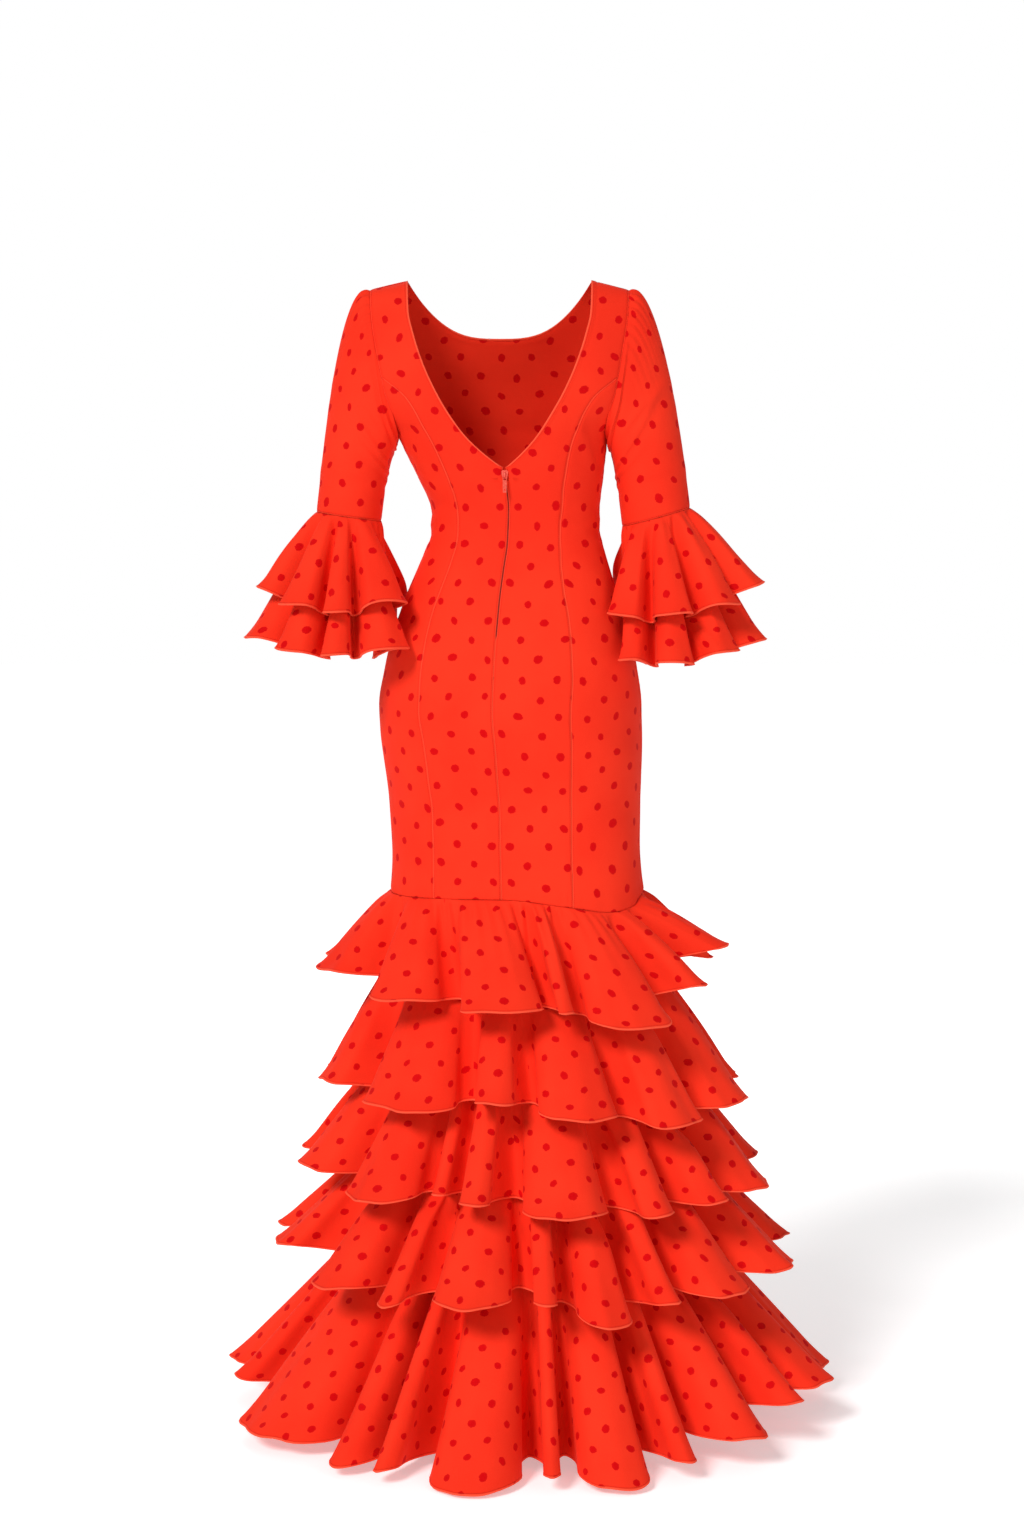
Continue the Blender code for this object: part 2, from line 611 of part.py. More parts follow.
def armhole_loop(side, count):
    """The armhole's edge, as points at even spacing, down the back and up the front."""
    heights = np.linspace(0.0, 1.0, 61) ** 1.6 * UNDERARM_Z
    loop = []
    for z in heights:
        angle = armhole_angle(z, "back")
        loop.append(body_point(angle if side > 0 else 180.0 - angle, z))
    for z in heights[-2::-1]:
        angle = armhole_angle(z, "front")
        loop.append(body_point(-angle if side > 0 else 180.0 + angle, z))
    return even_spacing(np.array(loop), count)


def even_spacing(loop, count):
    closed = np.concatenate([loop, loop[:1]])
    steps = np.linalg.norm(np.diff(closed, axis=0), axis=1)
    travelled = np.concatenate([[0.0], np.cumsum(steps)])
    wanted = np.linspace(0.0, travelled[-1], count, endpoint=False)
    return np.stack([np.interp(wanted, travelled, closed[:, i]) for i in range(3)], axis=1)


def cuff_point(cuff, angle, scale_in=0.0, drop=0.0):
    """A point on the sleeve's lower end; 0 degrees is its outer side and 90 its back."""
    outward = math.cos(math.radians(angle))
    back = math.sin(math.radians(angle))
    return Vector((
        cuff.x + cuff.side * (cuff.half_width - scale_in) * outward,
        cuff.y + (cuff.half_depth - scale_in) * back,
        cuff.z + cuff.outer_rise * outward - drop,
    ))


def sleeve_points(name, columns, rows):
    """Rings from the armhole down to the cuff."""
    cuff = CUFFS[name]
    loop = armhole_loop(cuff.side, columns)
    middle = loop.mean(axis=0)
    inward = middle - loop
    inward /= np.linalg.norm(inward, axis=1, keepdims=True)
    loop = loop + inward * 0.0007
    loop[:, 0] += cuff.side * 0.0004
    high = loop[:, 2].max()
    low = loop[:, 2].min()
    grid = []
    for share in rows:
        row = []
        for j, start in enumerate(loop):
            end = np.array(cuff_point(cuff, 360.0 * j / columns))
            height = (start[2] - low) / (high - low)
            leave = np.array((
                cuff.side * HEAD_OUT * (0.10 + 0.90 * height**1.3),
                0.0,
                HEAD_UP * height - 0.10 * (1.0 - height),
            ))
            arrive = np.array((cuff.side * 0.030, 0.0, -SLEEVE_FALL))
            s2 = share * share
            s3 = s2 * share
            row.append(
                start * (2 * s3 - 3 * s2 + 1)
                + leave * (s3 - 2 * s2 + share)
                + end * (3 * s2 - 2 * s3)
                + arrive * (s3 - s2)
            )
        grid.append(row)
    return np.array(grid)


def fold_steps(folds, large, small):
    """Each column's place: its fold's number and how far across the fold it is."""
    steps = []
    for number, fold in enumerate(folds):
        before = folds[number - 1].edge - (360.0 if number == 0 else 0.0)
        pattern = small if fold.edge - before < SMALL_FOLD else large
        steps += [(number, across) for across in pattern]
    return steps


def flounce_column(folds, number, across):
    """The angle at the seam, the angle at the hem, the hem's scale and height for one column."""
    fold = folds[number]
    earlier = folds[number - 1]
    later = folds[(number + 1) % len(folds)]
    before = earlier.edge - (360.0 if number == 0 else 0.0)
    share = 0.5 + 0.5 * math.cos(math.pi * abs(across) ** 1.7)
    if across < 0:
        half = fold.angle - before
        hollow = earlier.hollow
        curl = fold.before
        valley_z = (fold.hem_z + earlier.hem_z) / 2
    else:
        half = fold.edge - fold.angle
        hollow = fold.hollow
        curl = fold.after
        valley_z = (fold.hem_z + later.hem_z) / 2
    seam_angle = fold.angle + half * across
    hem_angle = seam_angle + half * CURL_KEPT * curl * math.sin(math.pi * across)
    scale = hollow + (fold.reach - hollow) * share
    hem_z = valley_z + (fold.hem_z - valley_z) * share
    return seam_angle, hem_angle, scale, hem_z, share


def flounce_points(shape, folds, steps, rows, spread, seam=None):
    """A grid from the flounce's seam down to its hem, one column for each step across a fold."""
    columns = []
    for number, across in steps:
        seam_angle, hem_angle, scale, hem_z, share = flounce_column(folds, number, across)
        if seam:
            top = np.array(seam(seam_angle))
        else:
            top = np.array(ellipse_point(shape, seam_angle, 1.0, False))
        bottom = np.array(ellipse_point(shape, hem_angle, scale, True))
        bottom[2] = hem_z
        column = []
        for row in rows:
            out = row + spread * (share - 0.2) * row * (1.0 - row)
            point = top + (bottom - top) * out
            point[2] = top[2] + (bottom[2] - top[2]) * row
            column.append(point)
        columns.append(column)
    return np.array(columns).transpose(1, 0, 2)


def ellipse_point(shape, angle, scale, at_hem):
    cosine = math.cos(math.radians(angle))
    sine = math.sin(math.radians(angle))
    if at_hem:
        depth = shape.hem_back if sine > 0 else shape.hem_front
        return Vector((
            shape.hem_x + shape.hem_a * scale * cosine,
            shape.hem_y + depth * scale * sine,
            0.0,
        ))
    depth = shape.seam_back if sine > 0 else shape.seam_front
    return Vector((
        shape.seam_x + shape.seam_a * cosine, shape.seam_y + depth * sine, shape.seam_z
    ))


def clear_of_hip(points, side, clearance):
    """The same grid, with what would come too near the hip laid along it instead."""
    moved = points.copy()
    for point in moved.reshape(-1, 3):
        section = section_at(float(point[2]))
        turn = math.radians(section.turn)
        x = point[0] - section.centre_x
        local_x = x * math.cos(turn) - point[1] * math.sin(turn)
        local_y = x * math.sin(turn) + point[1] * math.cos(turn)
        depth = section.back if local_y > 0 else section.front
        share = min(1.0, abs(local_y) / (depth + clearance)) ** section.square
        hip_x = section.half_width * (1.0 - share) ** (1.0 / section.square)
        short = hip_x + clearance - side * local_x
        push = HIP_EASE * math.log1p(math.exp(min(40.0, short / HIP_EASE)))
        point[0] += side * push * math.cos(turn)
        point[1] -= side * push * math.sin(turn)
    return moved


def mirrored(shape):
    """The same flounce with its angles running the other way round, for the right wrist."""
    return shape._replace(seam_a=-shape.seam_a, hem_a=-shape.hem_a)


def knee_seam_point(angle, inset):
    """A point just under the body's lower edge, moved in by the inset."""
    point = body_point(angle, SKIRT_SEAM_Z)
    middle = Vector((section_at(SKIRT_SEAM_Z).centre_x, 0.0, point.z))
    inward = (middle - point).normalized()
    point = point + inward * inset
    point.z -= KNEE_GAP
    return point


def make_skirt():
    for number, (shape, folds) in enumerate(zip(TIERS, TIER_FOLDS), start=1):
        steps = fold_steps(folds, FOLD_STEPS, SMALL_FOLD_STEPS)
        seam = (lambda angle: knee_seam_point(angle, 0.0)) if number == 1 else None
        points = flounce_points(shape, folds, steps, TIER_ROWS, SPREAD[number - 1], seam)
        cloth_object(f"skirt_flounce_{number}", points, FLOUNCE_WALL, CLOTH, closed_round=True)
    grid = []
    for hoop in UNDERSKIRT:
        row = []
        for j in range(UNDERSKIRT_COLUMNS):
            angle = 360.0 * j / UNDERSKIRT_COLUMNS
            if hoop is UNDERSKIRT[0]:
                row.append(knee_seam_point(angle, FLOUNCE_WALL + 0.0014))
                continue
            sine = math.sin(math.radians(angle))
            depth = hoop.back if sine > 0 else hoop.front
            row.append(Vector((
                hoop.middle_x + hoop.half_width * math.cos(math.radians(angle)),
                depth * sine,
                hoop.z,
            )))
        grid.append(row)
    cloth_object("underskirt", np.array(grid), BASE_WALL, CLOTH, closed_round=True)


def make_sleeves():
    for name, cuff in CUFFS.items():
        points = sleeve_points(name, 22, SLEEVE_ROWS)
        cloth_object("sleeve_" + name, points, PANEL_WALL * cuff.side, CLOTH, closed_round=True)
        for layer, inset in (("upper", 0.0), ("lower", FLOUNCE_WALL + 0.0006)):
            key = f"{layer}_{name}"
            shape = WRIST_FLOUNCES[key]
            shape = shape if cuff.side > 0 else mirrored(shape)
            folds = WRIST_FOLDS[key]
            steps = fold_steps(folds, FOLD_STEPS, SMALL_FOLD_STEPS)
            points = flounce_points(
                shape,
                folds,
                steps,
                WRIST_ROWS,
                WRIST_SPREAD[layer],
                lambda angle, c=cuff, i=inset: cuff_point(c, angle, i, SEAM_GAP + 0.0002),
            )
            points[1:] = clear_of_hip(points[1:], cuff.side, HIP_CLEARANCE[layer])
            cloth_object(
                f"sleeve_flounce_{key}", points, FLOUNCE_WALL * cuff.side, CLOTH, closed_round=True
            )


def slider_frame():
    """The place and the directions of the slider: across is level, and along runs down."""
    place = body_point(90.0, SLIDER_Z)
    across = body_point(92.0, SLIDER_Z) - body_point(88.0, SLIDER_Z)
    across = Vector((across.x, across.y, 0.0)).normalized()
    out = -body_inward(90.0, SLIDER_Z)
    out = (out - across * out.dot(across)).normalized()
    along = out.cross(across)
    if along.z > 0:
        along = -along
    return place, across, along, out


def frame_matrix(place, across, along, out):
    return Matrix((
        (across.x, along.x, out.x, place.x),
        (across.y, along.y, out.y, place.y),
        (across.z, along.z, out.z, place.z),
        (0.0, 0.0, 0.0, 1.0),
    ))


def plate(name, loops, low, high):
    """A flat plate from its outline and its holes, as a mesh from the low to the high face."""
    shape = bmesh.new()
    edges = []
    for loop in loops:
        points = [shape.verts.new((x, y, low)) for x, y in loop]
        edges += [shape.edges.new((points[i - 1], points[i])) for i in range(len(points))]
    filled = bmesh.ops.triangle_fill(shape, use_beauty=True, edges=edges)
    faces = [item for item in filled["geom"] if isinstance(item, bmesh.types.BMFace)]
    raised = bmesh.ops.extrude_face_region(shape, geom=faces, use_keep_orig=True)
    moved = [item for item in raised["geom"] if isinstance(item, bmesh.types.BMVert)]
    bmesh.ops.translate(shape, verts=moved, vec=(0.0, 0.0, high - low))
    bmesh.ops.recalc_face_normals(shape, faces=shape.faces)
    if shape.calc_volume(signed=True) < 0:
        bmesh.ops.reverse_faces(shape, faces=shape.faces)
    mesh = bpy.data.meshes.new(name)
    shape.to_mesh(mesh)
    shape.free()
    return mesh


def rounded_loop(half_x, low_y, high_y, corner, steps=3):
    """A rectangle's outline with round corners."""
    loop = []
    centres = (
        (half_x - corner, high_y - corner, 0),
        (corner - half_x, high_y - corner, 90),
        (corner - half_x, low_y + corner, 180),
        (half_x - corner, low_y + corner, 270),
    )
    for x, y, first in centres:
        for i in range(steps + 1):
            turn = math.radians(first + 90.0 * i / steps)
            loop.append((x + corner * math.cos(turn), y + corner * math.sin(turn)))
    return loop


def circle_loop(x, y, radius, steps=8):
    turns = [2.0 * math.pi * i / steps for i in range(steps)]
    return [(x + radius * math.cos(turn), y + radius * math.sin(turn)) for turn in turns]


def box_loop(half_x, low_y, high_y):
    return [(half_x, low_y), (half_x, high_y), (-half_x, high_y), (-half_x, low_y)]


def make_slider():
    place, across, along, out = slider_frame()
    matrix = frame_matrix(place, across, along, out)
    top = SLIDER_OFF_CLOTH + SLIDER_THICKNESS
    half = SLIDER_LENGTH / 2
    wide = SLIDER_WIDTH / 2
    nose = SLIDER_NOSE / 2
    outline = [
        (nose, half), (-nose, half), (-wide + 0.0006, half - 0.0038), (-wide, -half + 0.0015),
        (-wide + 0.0015, -half), (wide - 0.0015, -half), (wide, -half + 0.0015),
        (wide - 0.0006, half - 0.0038),
    ]  # fmt: skip
    body = add_object(
        "zip_slider", plate("zip_slider", [outline], SLIDER_OFF_CLOTH, top), METAL, 0.35, 0.6
    )
    body.matrix_world = matrix
    # The arch stands on edge: its plate lies in the plane of along and out.
    long = ARCH_LENGTH / 2
    high = top + ARCH_HEIGHT
    arch_loop = [
        (-long, top - 0.0004), (-long, high - 0.0014), (-long + 0.0014, high),
        (long - 0.0014, high), (long, high - 0.0014), (long, top - 0.0004),
        (long - ARCH_BAR, top - 0.0004), (long - ARCH_BAR, high - ARCH_BAR - 0.0008),
        (long - ARCH_BAR - 0.0008, high - ARCH_BAR), (-long + ARCH_BAR + 0.0008, high - ARCH_BAR),
        (-long + ARCH_BAR, high - ARCH_BAR - 0.0008), (-long + ARCH_BAR, top - 0.0004),
    ]  # fmt: skip
    standing = Matrix(((0, 0, 1, 0), (1, 0, 0, 0), (0, 1, 0, 0), (0, 0, 0, 1)))
    arch_mesh = plate("slider_arch", [arch_loop], -ARCH_WIDTH / 2, ARCH_WIDTH / 2)
    arch_mesh.transform(standing)
    neck_low = -INNER_PLATE_DEPTH - 0.0004
    neck_mesh = plate("slider_neck", [box_loop(NECK_HALF, -0.0030, 0.0010)], neck_low, top - 0.0004)
    inner_mesh = plate(
        "slider_inner_plate",
        [rounded_loop(wide - 0.0008, -half + 0.0010, half - 0.0010, 0.0012)],
        -INNER_PLATE_DEPTH - 0.0012,
        -INNER_PLATE_DEPTH,
    )
    for mesh in (arch_mesh, neck_mesh, inner_mesh):
        helper = bpy.data.objects.new(mesh.name, mesh)
        bpy.context.scene.collection.objects.link(helper)
        helper.matrix_world = matrix
        helper.hide_render = True
        join = body.modifiers.new(mesh.name, "BOOLEAN")
        join.operation = "UNION"
        join.solver = "EXACT"
        join.object = helper
    pivot = place + out * (top + PIVOT_OUT)
    return pivot, across


def make_pull(pivot, across):
    """The pull hangs straight down from the crossbar that lies under the slider's arch."""
    down = Vector((0.0, 0.0, -1.0))
    away = across.cross(down)
    if away.y < 0:
        away = -away
    outline = rounded_loop(PULL_WIDTH / 2, -PULL_EYE_BACK, PULL_LENGTH, 0.0006)
    tip = [(x * PULL_TIP_SHARE if y > PULL_LENGTH * 0.8 else x, y) for x, y in outline]
    slot = rounded_loop(PULL_SLOT_WIDTH / 2, 0.0006, PULL_SLOT_LENGTH, 0.0010)
    hole = circle_loop(0.0, PULL_LENGTH - 0.0036, PULL_HOLE)
    mesh = plate("zip_pull", [tip, slot, hole], -PULL_THICKNESS / 2, PULL_THICKNESS / 2)
    pull = add_object("zip_pull", mesh, METAL, 0.35, 0.6)
    pull.matrix_world = frame_matrix(pivot, across, down, away)


def make_tapes():
    """The zip's two tapes, on the inside of the back, from points moved in from the cloth."""
    rows = [z for z in BODY_ROWS if ZIP_END_Z < z < V_POINT_Z]
    rows = [TAPE_END_Z] + rows + [V_POINT_Z - 0.0008]
    for name, side in (("left", 1), ("right", -1)):
        points = []
        inward = []
        for z in rows:
            edge = TAPE_AT_SLIDER if z > SLIDER_END_Z - 0.004 else TAPE_EDGE
            angles = [angle_at(z, across) for across in (edge, TAPE_WIDTH * 0.5, TAPE_WIDTH)]
            angles = angles if side > 0 else [180.0 - angle for angle in angles]
            normals = [body_inward(angle, z) for angle in angles]
            step = PANEL_WALL + SEAM_STEP
            points.append([body_point(a, z) + n * step for a, n in zip(angles, normals)])
            inward.append(normals)
        cloth_object(
            "zip_tape_" + name, np.array(points), TAPE_WALL, TAPE_COLOUR, np.array(inward)
        )


def clear_scene():
    for thing in list(bpy.data.objects):
        bpy.data.objects.remove(thing)


clear_scene()
make_body()
make_skirt()
make_sleeves()
make_tapes()
make_pull(*make_slider())
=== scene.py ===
import math
from collections import namedtuple
from functools import partial

import bmesh
import bpy
import numpy as np
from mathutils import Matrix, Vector
from mathutils.bvhtree import BVHTree


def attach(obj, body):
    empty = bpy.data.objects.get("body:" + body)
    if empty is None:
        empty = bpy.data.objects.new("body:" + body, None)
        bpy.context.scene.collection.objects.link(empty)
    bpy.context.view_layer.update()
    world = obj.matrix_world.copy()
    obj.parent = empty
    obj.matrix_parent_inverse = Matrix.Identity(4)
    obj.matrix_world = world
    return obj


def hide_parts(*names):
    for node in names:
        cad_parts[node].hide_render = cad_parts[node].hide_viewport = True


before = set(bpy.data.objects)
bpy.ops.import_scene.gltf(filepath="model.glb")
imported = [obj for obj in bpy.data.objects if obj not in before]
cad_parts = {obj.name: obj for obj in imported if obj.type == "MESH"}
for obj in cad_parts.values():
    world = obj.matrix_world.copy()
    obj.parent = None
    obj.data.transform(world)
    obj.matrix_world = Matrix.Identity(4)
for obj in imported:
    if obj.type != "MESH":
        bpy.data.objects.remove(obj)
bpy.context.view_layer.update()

# ---------------------------------------------------------------- sizes, as the solids have them
WALL = 0.0011
FLOUNCE_WALL = 0.0009
UNDERSKIRT_WALL = 0.0008
TAPE_WALL = 0.0007
SEAM_HALF_GAP = 0.00012
NECK_X = 0.1185
SHOULDER_SLOPE = 0.25
SLOPE_DEPTH = 0.12
UNDERARM_Z = -0.195
PRINCESS_TOP_Z = -0.125
V_POINT_Z = -0.238
SKIRT_SEAM_Z = -0.790
KNEE_SEAM_DROP = 0.0003
FRONT_NECK_DEPTH = 0.072
FRONT_NECK_SHARE = 0.56
ZIP_END_Z = -0.455
SLIDER_END_Z = -0.252
SLIT_AT_SLIDER = 0.0018
SLIT_BELOW = 0.0009
SLIT_EASE = 0.012
TAPE_WIDTH = 0.0125
TAPE_END_Z = -0.462
COIL_TOP_Z = -0.2535
COIL_END_Z = -0.4545
COIL_STEPS = 150
COIL_DEPTH = 0.0019
COIL_SWAY = 0.0006
COIL_RADIUS = 0.00045
TAPE_DEPTH = 0.0029
METAL_ROUNDING = 0.00022
FLOOR_Z = -1.4835
# The body's grid: its usual step down, and more rows where an edge or a seam turns.
ROW_STEP = 0.0068
EXTRA_ROWS = (
    (-0.7885, -0.787, ZIP_END_Z, ZIP_END_Z - 0.006, SLIDER_END_Z, -0.2505, -0.2395, V_POINT_Z, -0.236)
    + (-0.1945, -0.194, -0.1925, -0.191, -0.188, -0.184)
    + (PRINCESS_TOP_Z, PRINCESS_TOP_Z + 0.0002, -0.004, -0.0015)
)
# Metres to a degree round the body, for the creases.
BODY_DEGREE = 0.0024
# A seam gets less of the painted highlight than an open edge or a hem, so its distances start from this.
SEAM_SHIFT = 0.0014
SLEEVE_LENGTH = 0.300
SLEEVE_COLUMNS = 132
SIDE_COLUMNS = 24
BACK_COLUMNS = 26
FRONT_COLUMNS = 57
# The sleeve's edge lies this deep under the bodice, and this far past the armhole's edge.
TUCK_DEPTH = 0.0014
TUCK_PAST = 0.0012
# One gather to the next, along the seam.
SLEEVE_GATHER = 0.0125
FLOUNCE_GATHER = 0.0135
# The rolled hem: its height, and how much it adds inside and outside.
HEM_ROLL = 0.0030
ROLL_INSIDE = 0.0013
ROLL_OUTSIDE = 0.0005
# A flounce keeps this clear of the one over it, whose inside is this deep.
TIER_CLEAR = 0.0045
TIER_DEPTH = 0.0022
WRIST_CLEAR = 0.0035
WRIST_DEPTH = 0.0020
WRIST_OPENNESS = 1.1
WRIST_LOWER = 0.013
# Across a fold at the hem: the place on the seam, the place on the hem, and how near the crest.
CREST_STEPS = ((0.46, 0.60, 0.87), (0.22, 0.30, 0.975))
OPENING = 0.21
LEAST_OPENING = 0.0045
MOST_SHIFT = 0.60
DEEPER = 0.052
HEM_SAMPLES = 4
# The first sleeve flounce's number among the cloth pieces, which its seed comes from.
FIRST_WRIST = 15
# The camera, its lens in millimetres and its tilt in degrees, and the sun.
CAMERA_PLACE = (-0.016, 4.2, -0.2)
CAMERA_TILT = 5.849
LENS = 75.73
SUN_STRENGTH = 2.35
SUN_WIDTH = 18.0
SUN_WAY = (-0.62, -1.0, -0.90)
WORLD_LIGHT = 0.24
FLOOR_SIZE = 14.0
FLOOR_GLOW = 0.37
DRESS_MIDDLE = (0.0, 0.0, -0.8)
# Dots and colours.
DOT_ACROSS = 0.047
DOT_DOWN = 0.048
DOT_RADIUS = 0.0050
RED = (0.895, 0.034, 0.0125)
RED_DEEP = (0.840, 0.025, 0.0095)
SPECKLE = (0.98, 0.070, 0.032)
DOT = (0.600, 0.0001, 0.0030)
DOT_THIN = (0.80, 0.003, 0.006)
# The painted highlight along the turned edges and rolled hems.
HEM_PAINTED_HIGHLIGHT = (0.98, 0.115, 0.055)
STITCH = (0.55, 0.012, 0.008)


def named(kind, *rows):
    """Rows of plain numbers as named tuples."""
    return tuple(kind(*row) for row in rows)


# ---------------------------------------------------------------- tables
Section = namedtuple("Section", "z half_width back front centre_x square turn")
BODY = named(
    Section,
    (0.000, 0.184, 0.0003, 0.0003, 0.000, 2.6, 0.0),
    (-0.004, 0.184, 0.015, 0.014, 0.000, 2.6, 0.0),
    (-0.012, 0.184, 0.028, 0.026, 0.000, 2.6, 0.0),
    (-0.030, 0.184, 0.045, 0.042, 0.000, 2.6, 0.0),
    (-0.060, 0.183, 0.063, 0.060, 0.000, 2.6, 0.0),
    (-0.100, 0.179, 0.079, 0.081, 0.000, 2.6, 0.0),
    (-0.140, 0.171, 0.088, 0.099, -0.001, 2.6, 0.5),
    (-0.170, 0.156, 0.091, 0.108, -0.002, 2.5, 1.0),
    (-0.195, 0.1370, 0.091, 0.113, -0.004, 2.4, 1.5),
    (-0.225, 0.1275, 0.088, 0.114, -0.009, 2.35, 3.0),
    (-0.255, 0.1190, 0.083, 0.109, -0.0145, 2.3, 4.5),
    (-0.295, 0.1090, 0.074, 0.099, -0.0200, 2.3, 6.5),
    (-0.3175, 0.1086, 0.072, 0.096, -0.0202, 2.3, 7.5),
    (-0.3355, 0.1120, 0.075, 0.097, -0.0203, 2.3, 8.0),
    (-0.3600, 0.1215, 0.083, 0.101, -0.0185, 2.3, 8.5),
    (-0.4110, 0.1405, 0.101, 0.107, -0.0160, 2.3, 9.5),
    (-0.4970, 0.1645, 0.123, 0.109, -0.0150, 2.3, 10.5),
    (-0.5460, 0.1712, 0.127, 0.107, -0.0140, 2.3, 10.5),
    (-0.6030, 0.1698, 0.122, 0.105, -0.0165, 2.3, 10.0),
    (-0.6760, 0.1640, 0.111, 0.103, -0.0195, 2.3, 10.0),
    (-0.7320, 0.1630, 0.107, 0.104, -0.0208, 2.3, 10.5),
    (-0.7900, 0.1655, 0.109, 0.108, -0.0222, 2.3, 10.5),
)
BUST_FULLNESS = 0.013
BUST_X = 0.066
BUST_Z = -0.232
BUST_SPREAD_X = 0.048
BUST_SPREAD_Z = 0.050

Seam = namedtuple("Seam", "z back front")
PRINCESS = named(
    Seam,
    (-0.125, 0.1500, 0.1410),
    (-0.150, 0.1200, 0.1120),
    (-0.186, 0.0990, 0.0920),
    (-0.213, 0.0871, 0.0820),
    (-0.250, 0.0757, 0.0740),
    (-0.276, 0.0695, 0.0680),
    (-0.320, 0.0655, 0.0620),
    (-0.352, 0.0697, 0.0650),
    (-0.390, 0.0786, 0.0720),
    (-0.427, 0.0885, 0.0800),
    (-0.469, 0.0957, 0.0870),
    (-0.513, 0.0992, 0.0910),
    (-0.585, 0.0967, 0.0920),
    (-0.690, 0.0905, 0.0900),
    (-0.790, 0.0912, 0.0900),
)
Drop = namedtuple("Drop", "angle fall")
KNEE_DROPS = named(
    Drop,
    (0, 0.000),
    (25, 0.003),
    (60, 0.001),
    (90, -0.001),
    (115, 0.007),
    (145, 0.017),
    (163, 0.013),
    (180, 0.000),
    (360, 0.000),
)
KNEE_DROP_START_Z = -0.690
Neck = namedtuple("Neck", "z half_width")
BACK_NECK = named(
    Neck,
    (0.000, 0.1180),
    (-0.040, 0.1160),
    (-0.070, 0.1090),
    (-0.105, 0.0975),
    (-0.140, 0.0820),
    (-0.170, 0.0650),
    (-0.200, 0.0440),
    (-0.222, 0.0225),
    (-0.238, 0.0030),
)
Armhole = namedtuple("Armhole", "z back front")
ARMHOLE = named(
    Armhole,
    (0.000, 28.5, 28.5),
    (-0.025, 29.5, 31.0),
    (-0.055, 31.0, 34.0),
    (-0.090, 33.0, 36.5),
    (-0.125, 34.0, 37.0),
    (-0.150, 33.0, 36.0),
    (-0.170, 29.5, 32.0),
    (-0.184, 22.0, 24.0),
    (-0.192, 12.0, 13.0),
    (-0.195, 0.0, 0.0),
)
Cuff = namedtuple("Cuff", "side x y z half_width half_depth outer_rise")
CUFFS = {
    "left": Cuff(1, 0.1950, 0.004, -0.3020, 0.0420, 0.0455, 0.0060),
    "right": Cuff(-1, -0.2025, 0.004, -0.3030, 0.0440, 0.0460, 0.0120),
}
HEAD_OUT = 0.125
HEAD_UP = 0.030
SLEEVE_FALL = 0.27

Fold = namedtuple("Fold", "angle edge reach hollow before after hem_z")
Flounce = namedtuple(
    "Flounce", "seam_z seam_x seam_y seam_a seam_back seam_front hem_x hem_y hem_a hem_back hem_front"
)
TIERS = named(
    Flounce,
    (-0.7906, -0.0222, 0.0, 0.1655, 0.109, 0.108, -0.0265, 0.0, 0.2655, 0.218, 0.208),
    (-0.8800, -0.0290, 0.0, 0.1725, 0.130, 0.128, -0.0430, 0.0, 0.2805, 0.248, 0.240),
    (-1.0000, -0.0350, 0.0, 0.1845, 0.152, 0.149, -0.0410, 0.0, 0.3080, 0.276, 0.268),
    (-1.1180, -0.0400, 0.0, 0.1975, 0.172, 0.168, -0.0440, 0.0, 0.3440, 0.318, 0.308),
    (-1.2360, -0.0430, 0.0, 0.2125, 0.193, 0.189, -0.0450, 0.0, 0.3970, 0.385, 0.372),
)
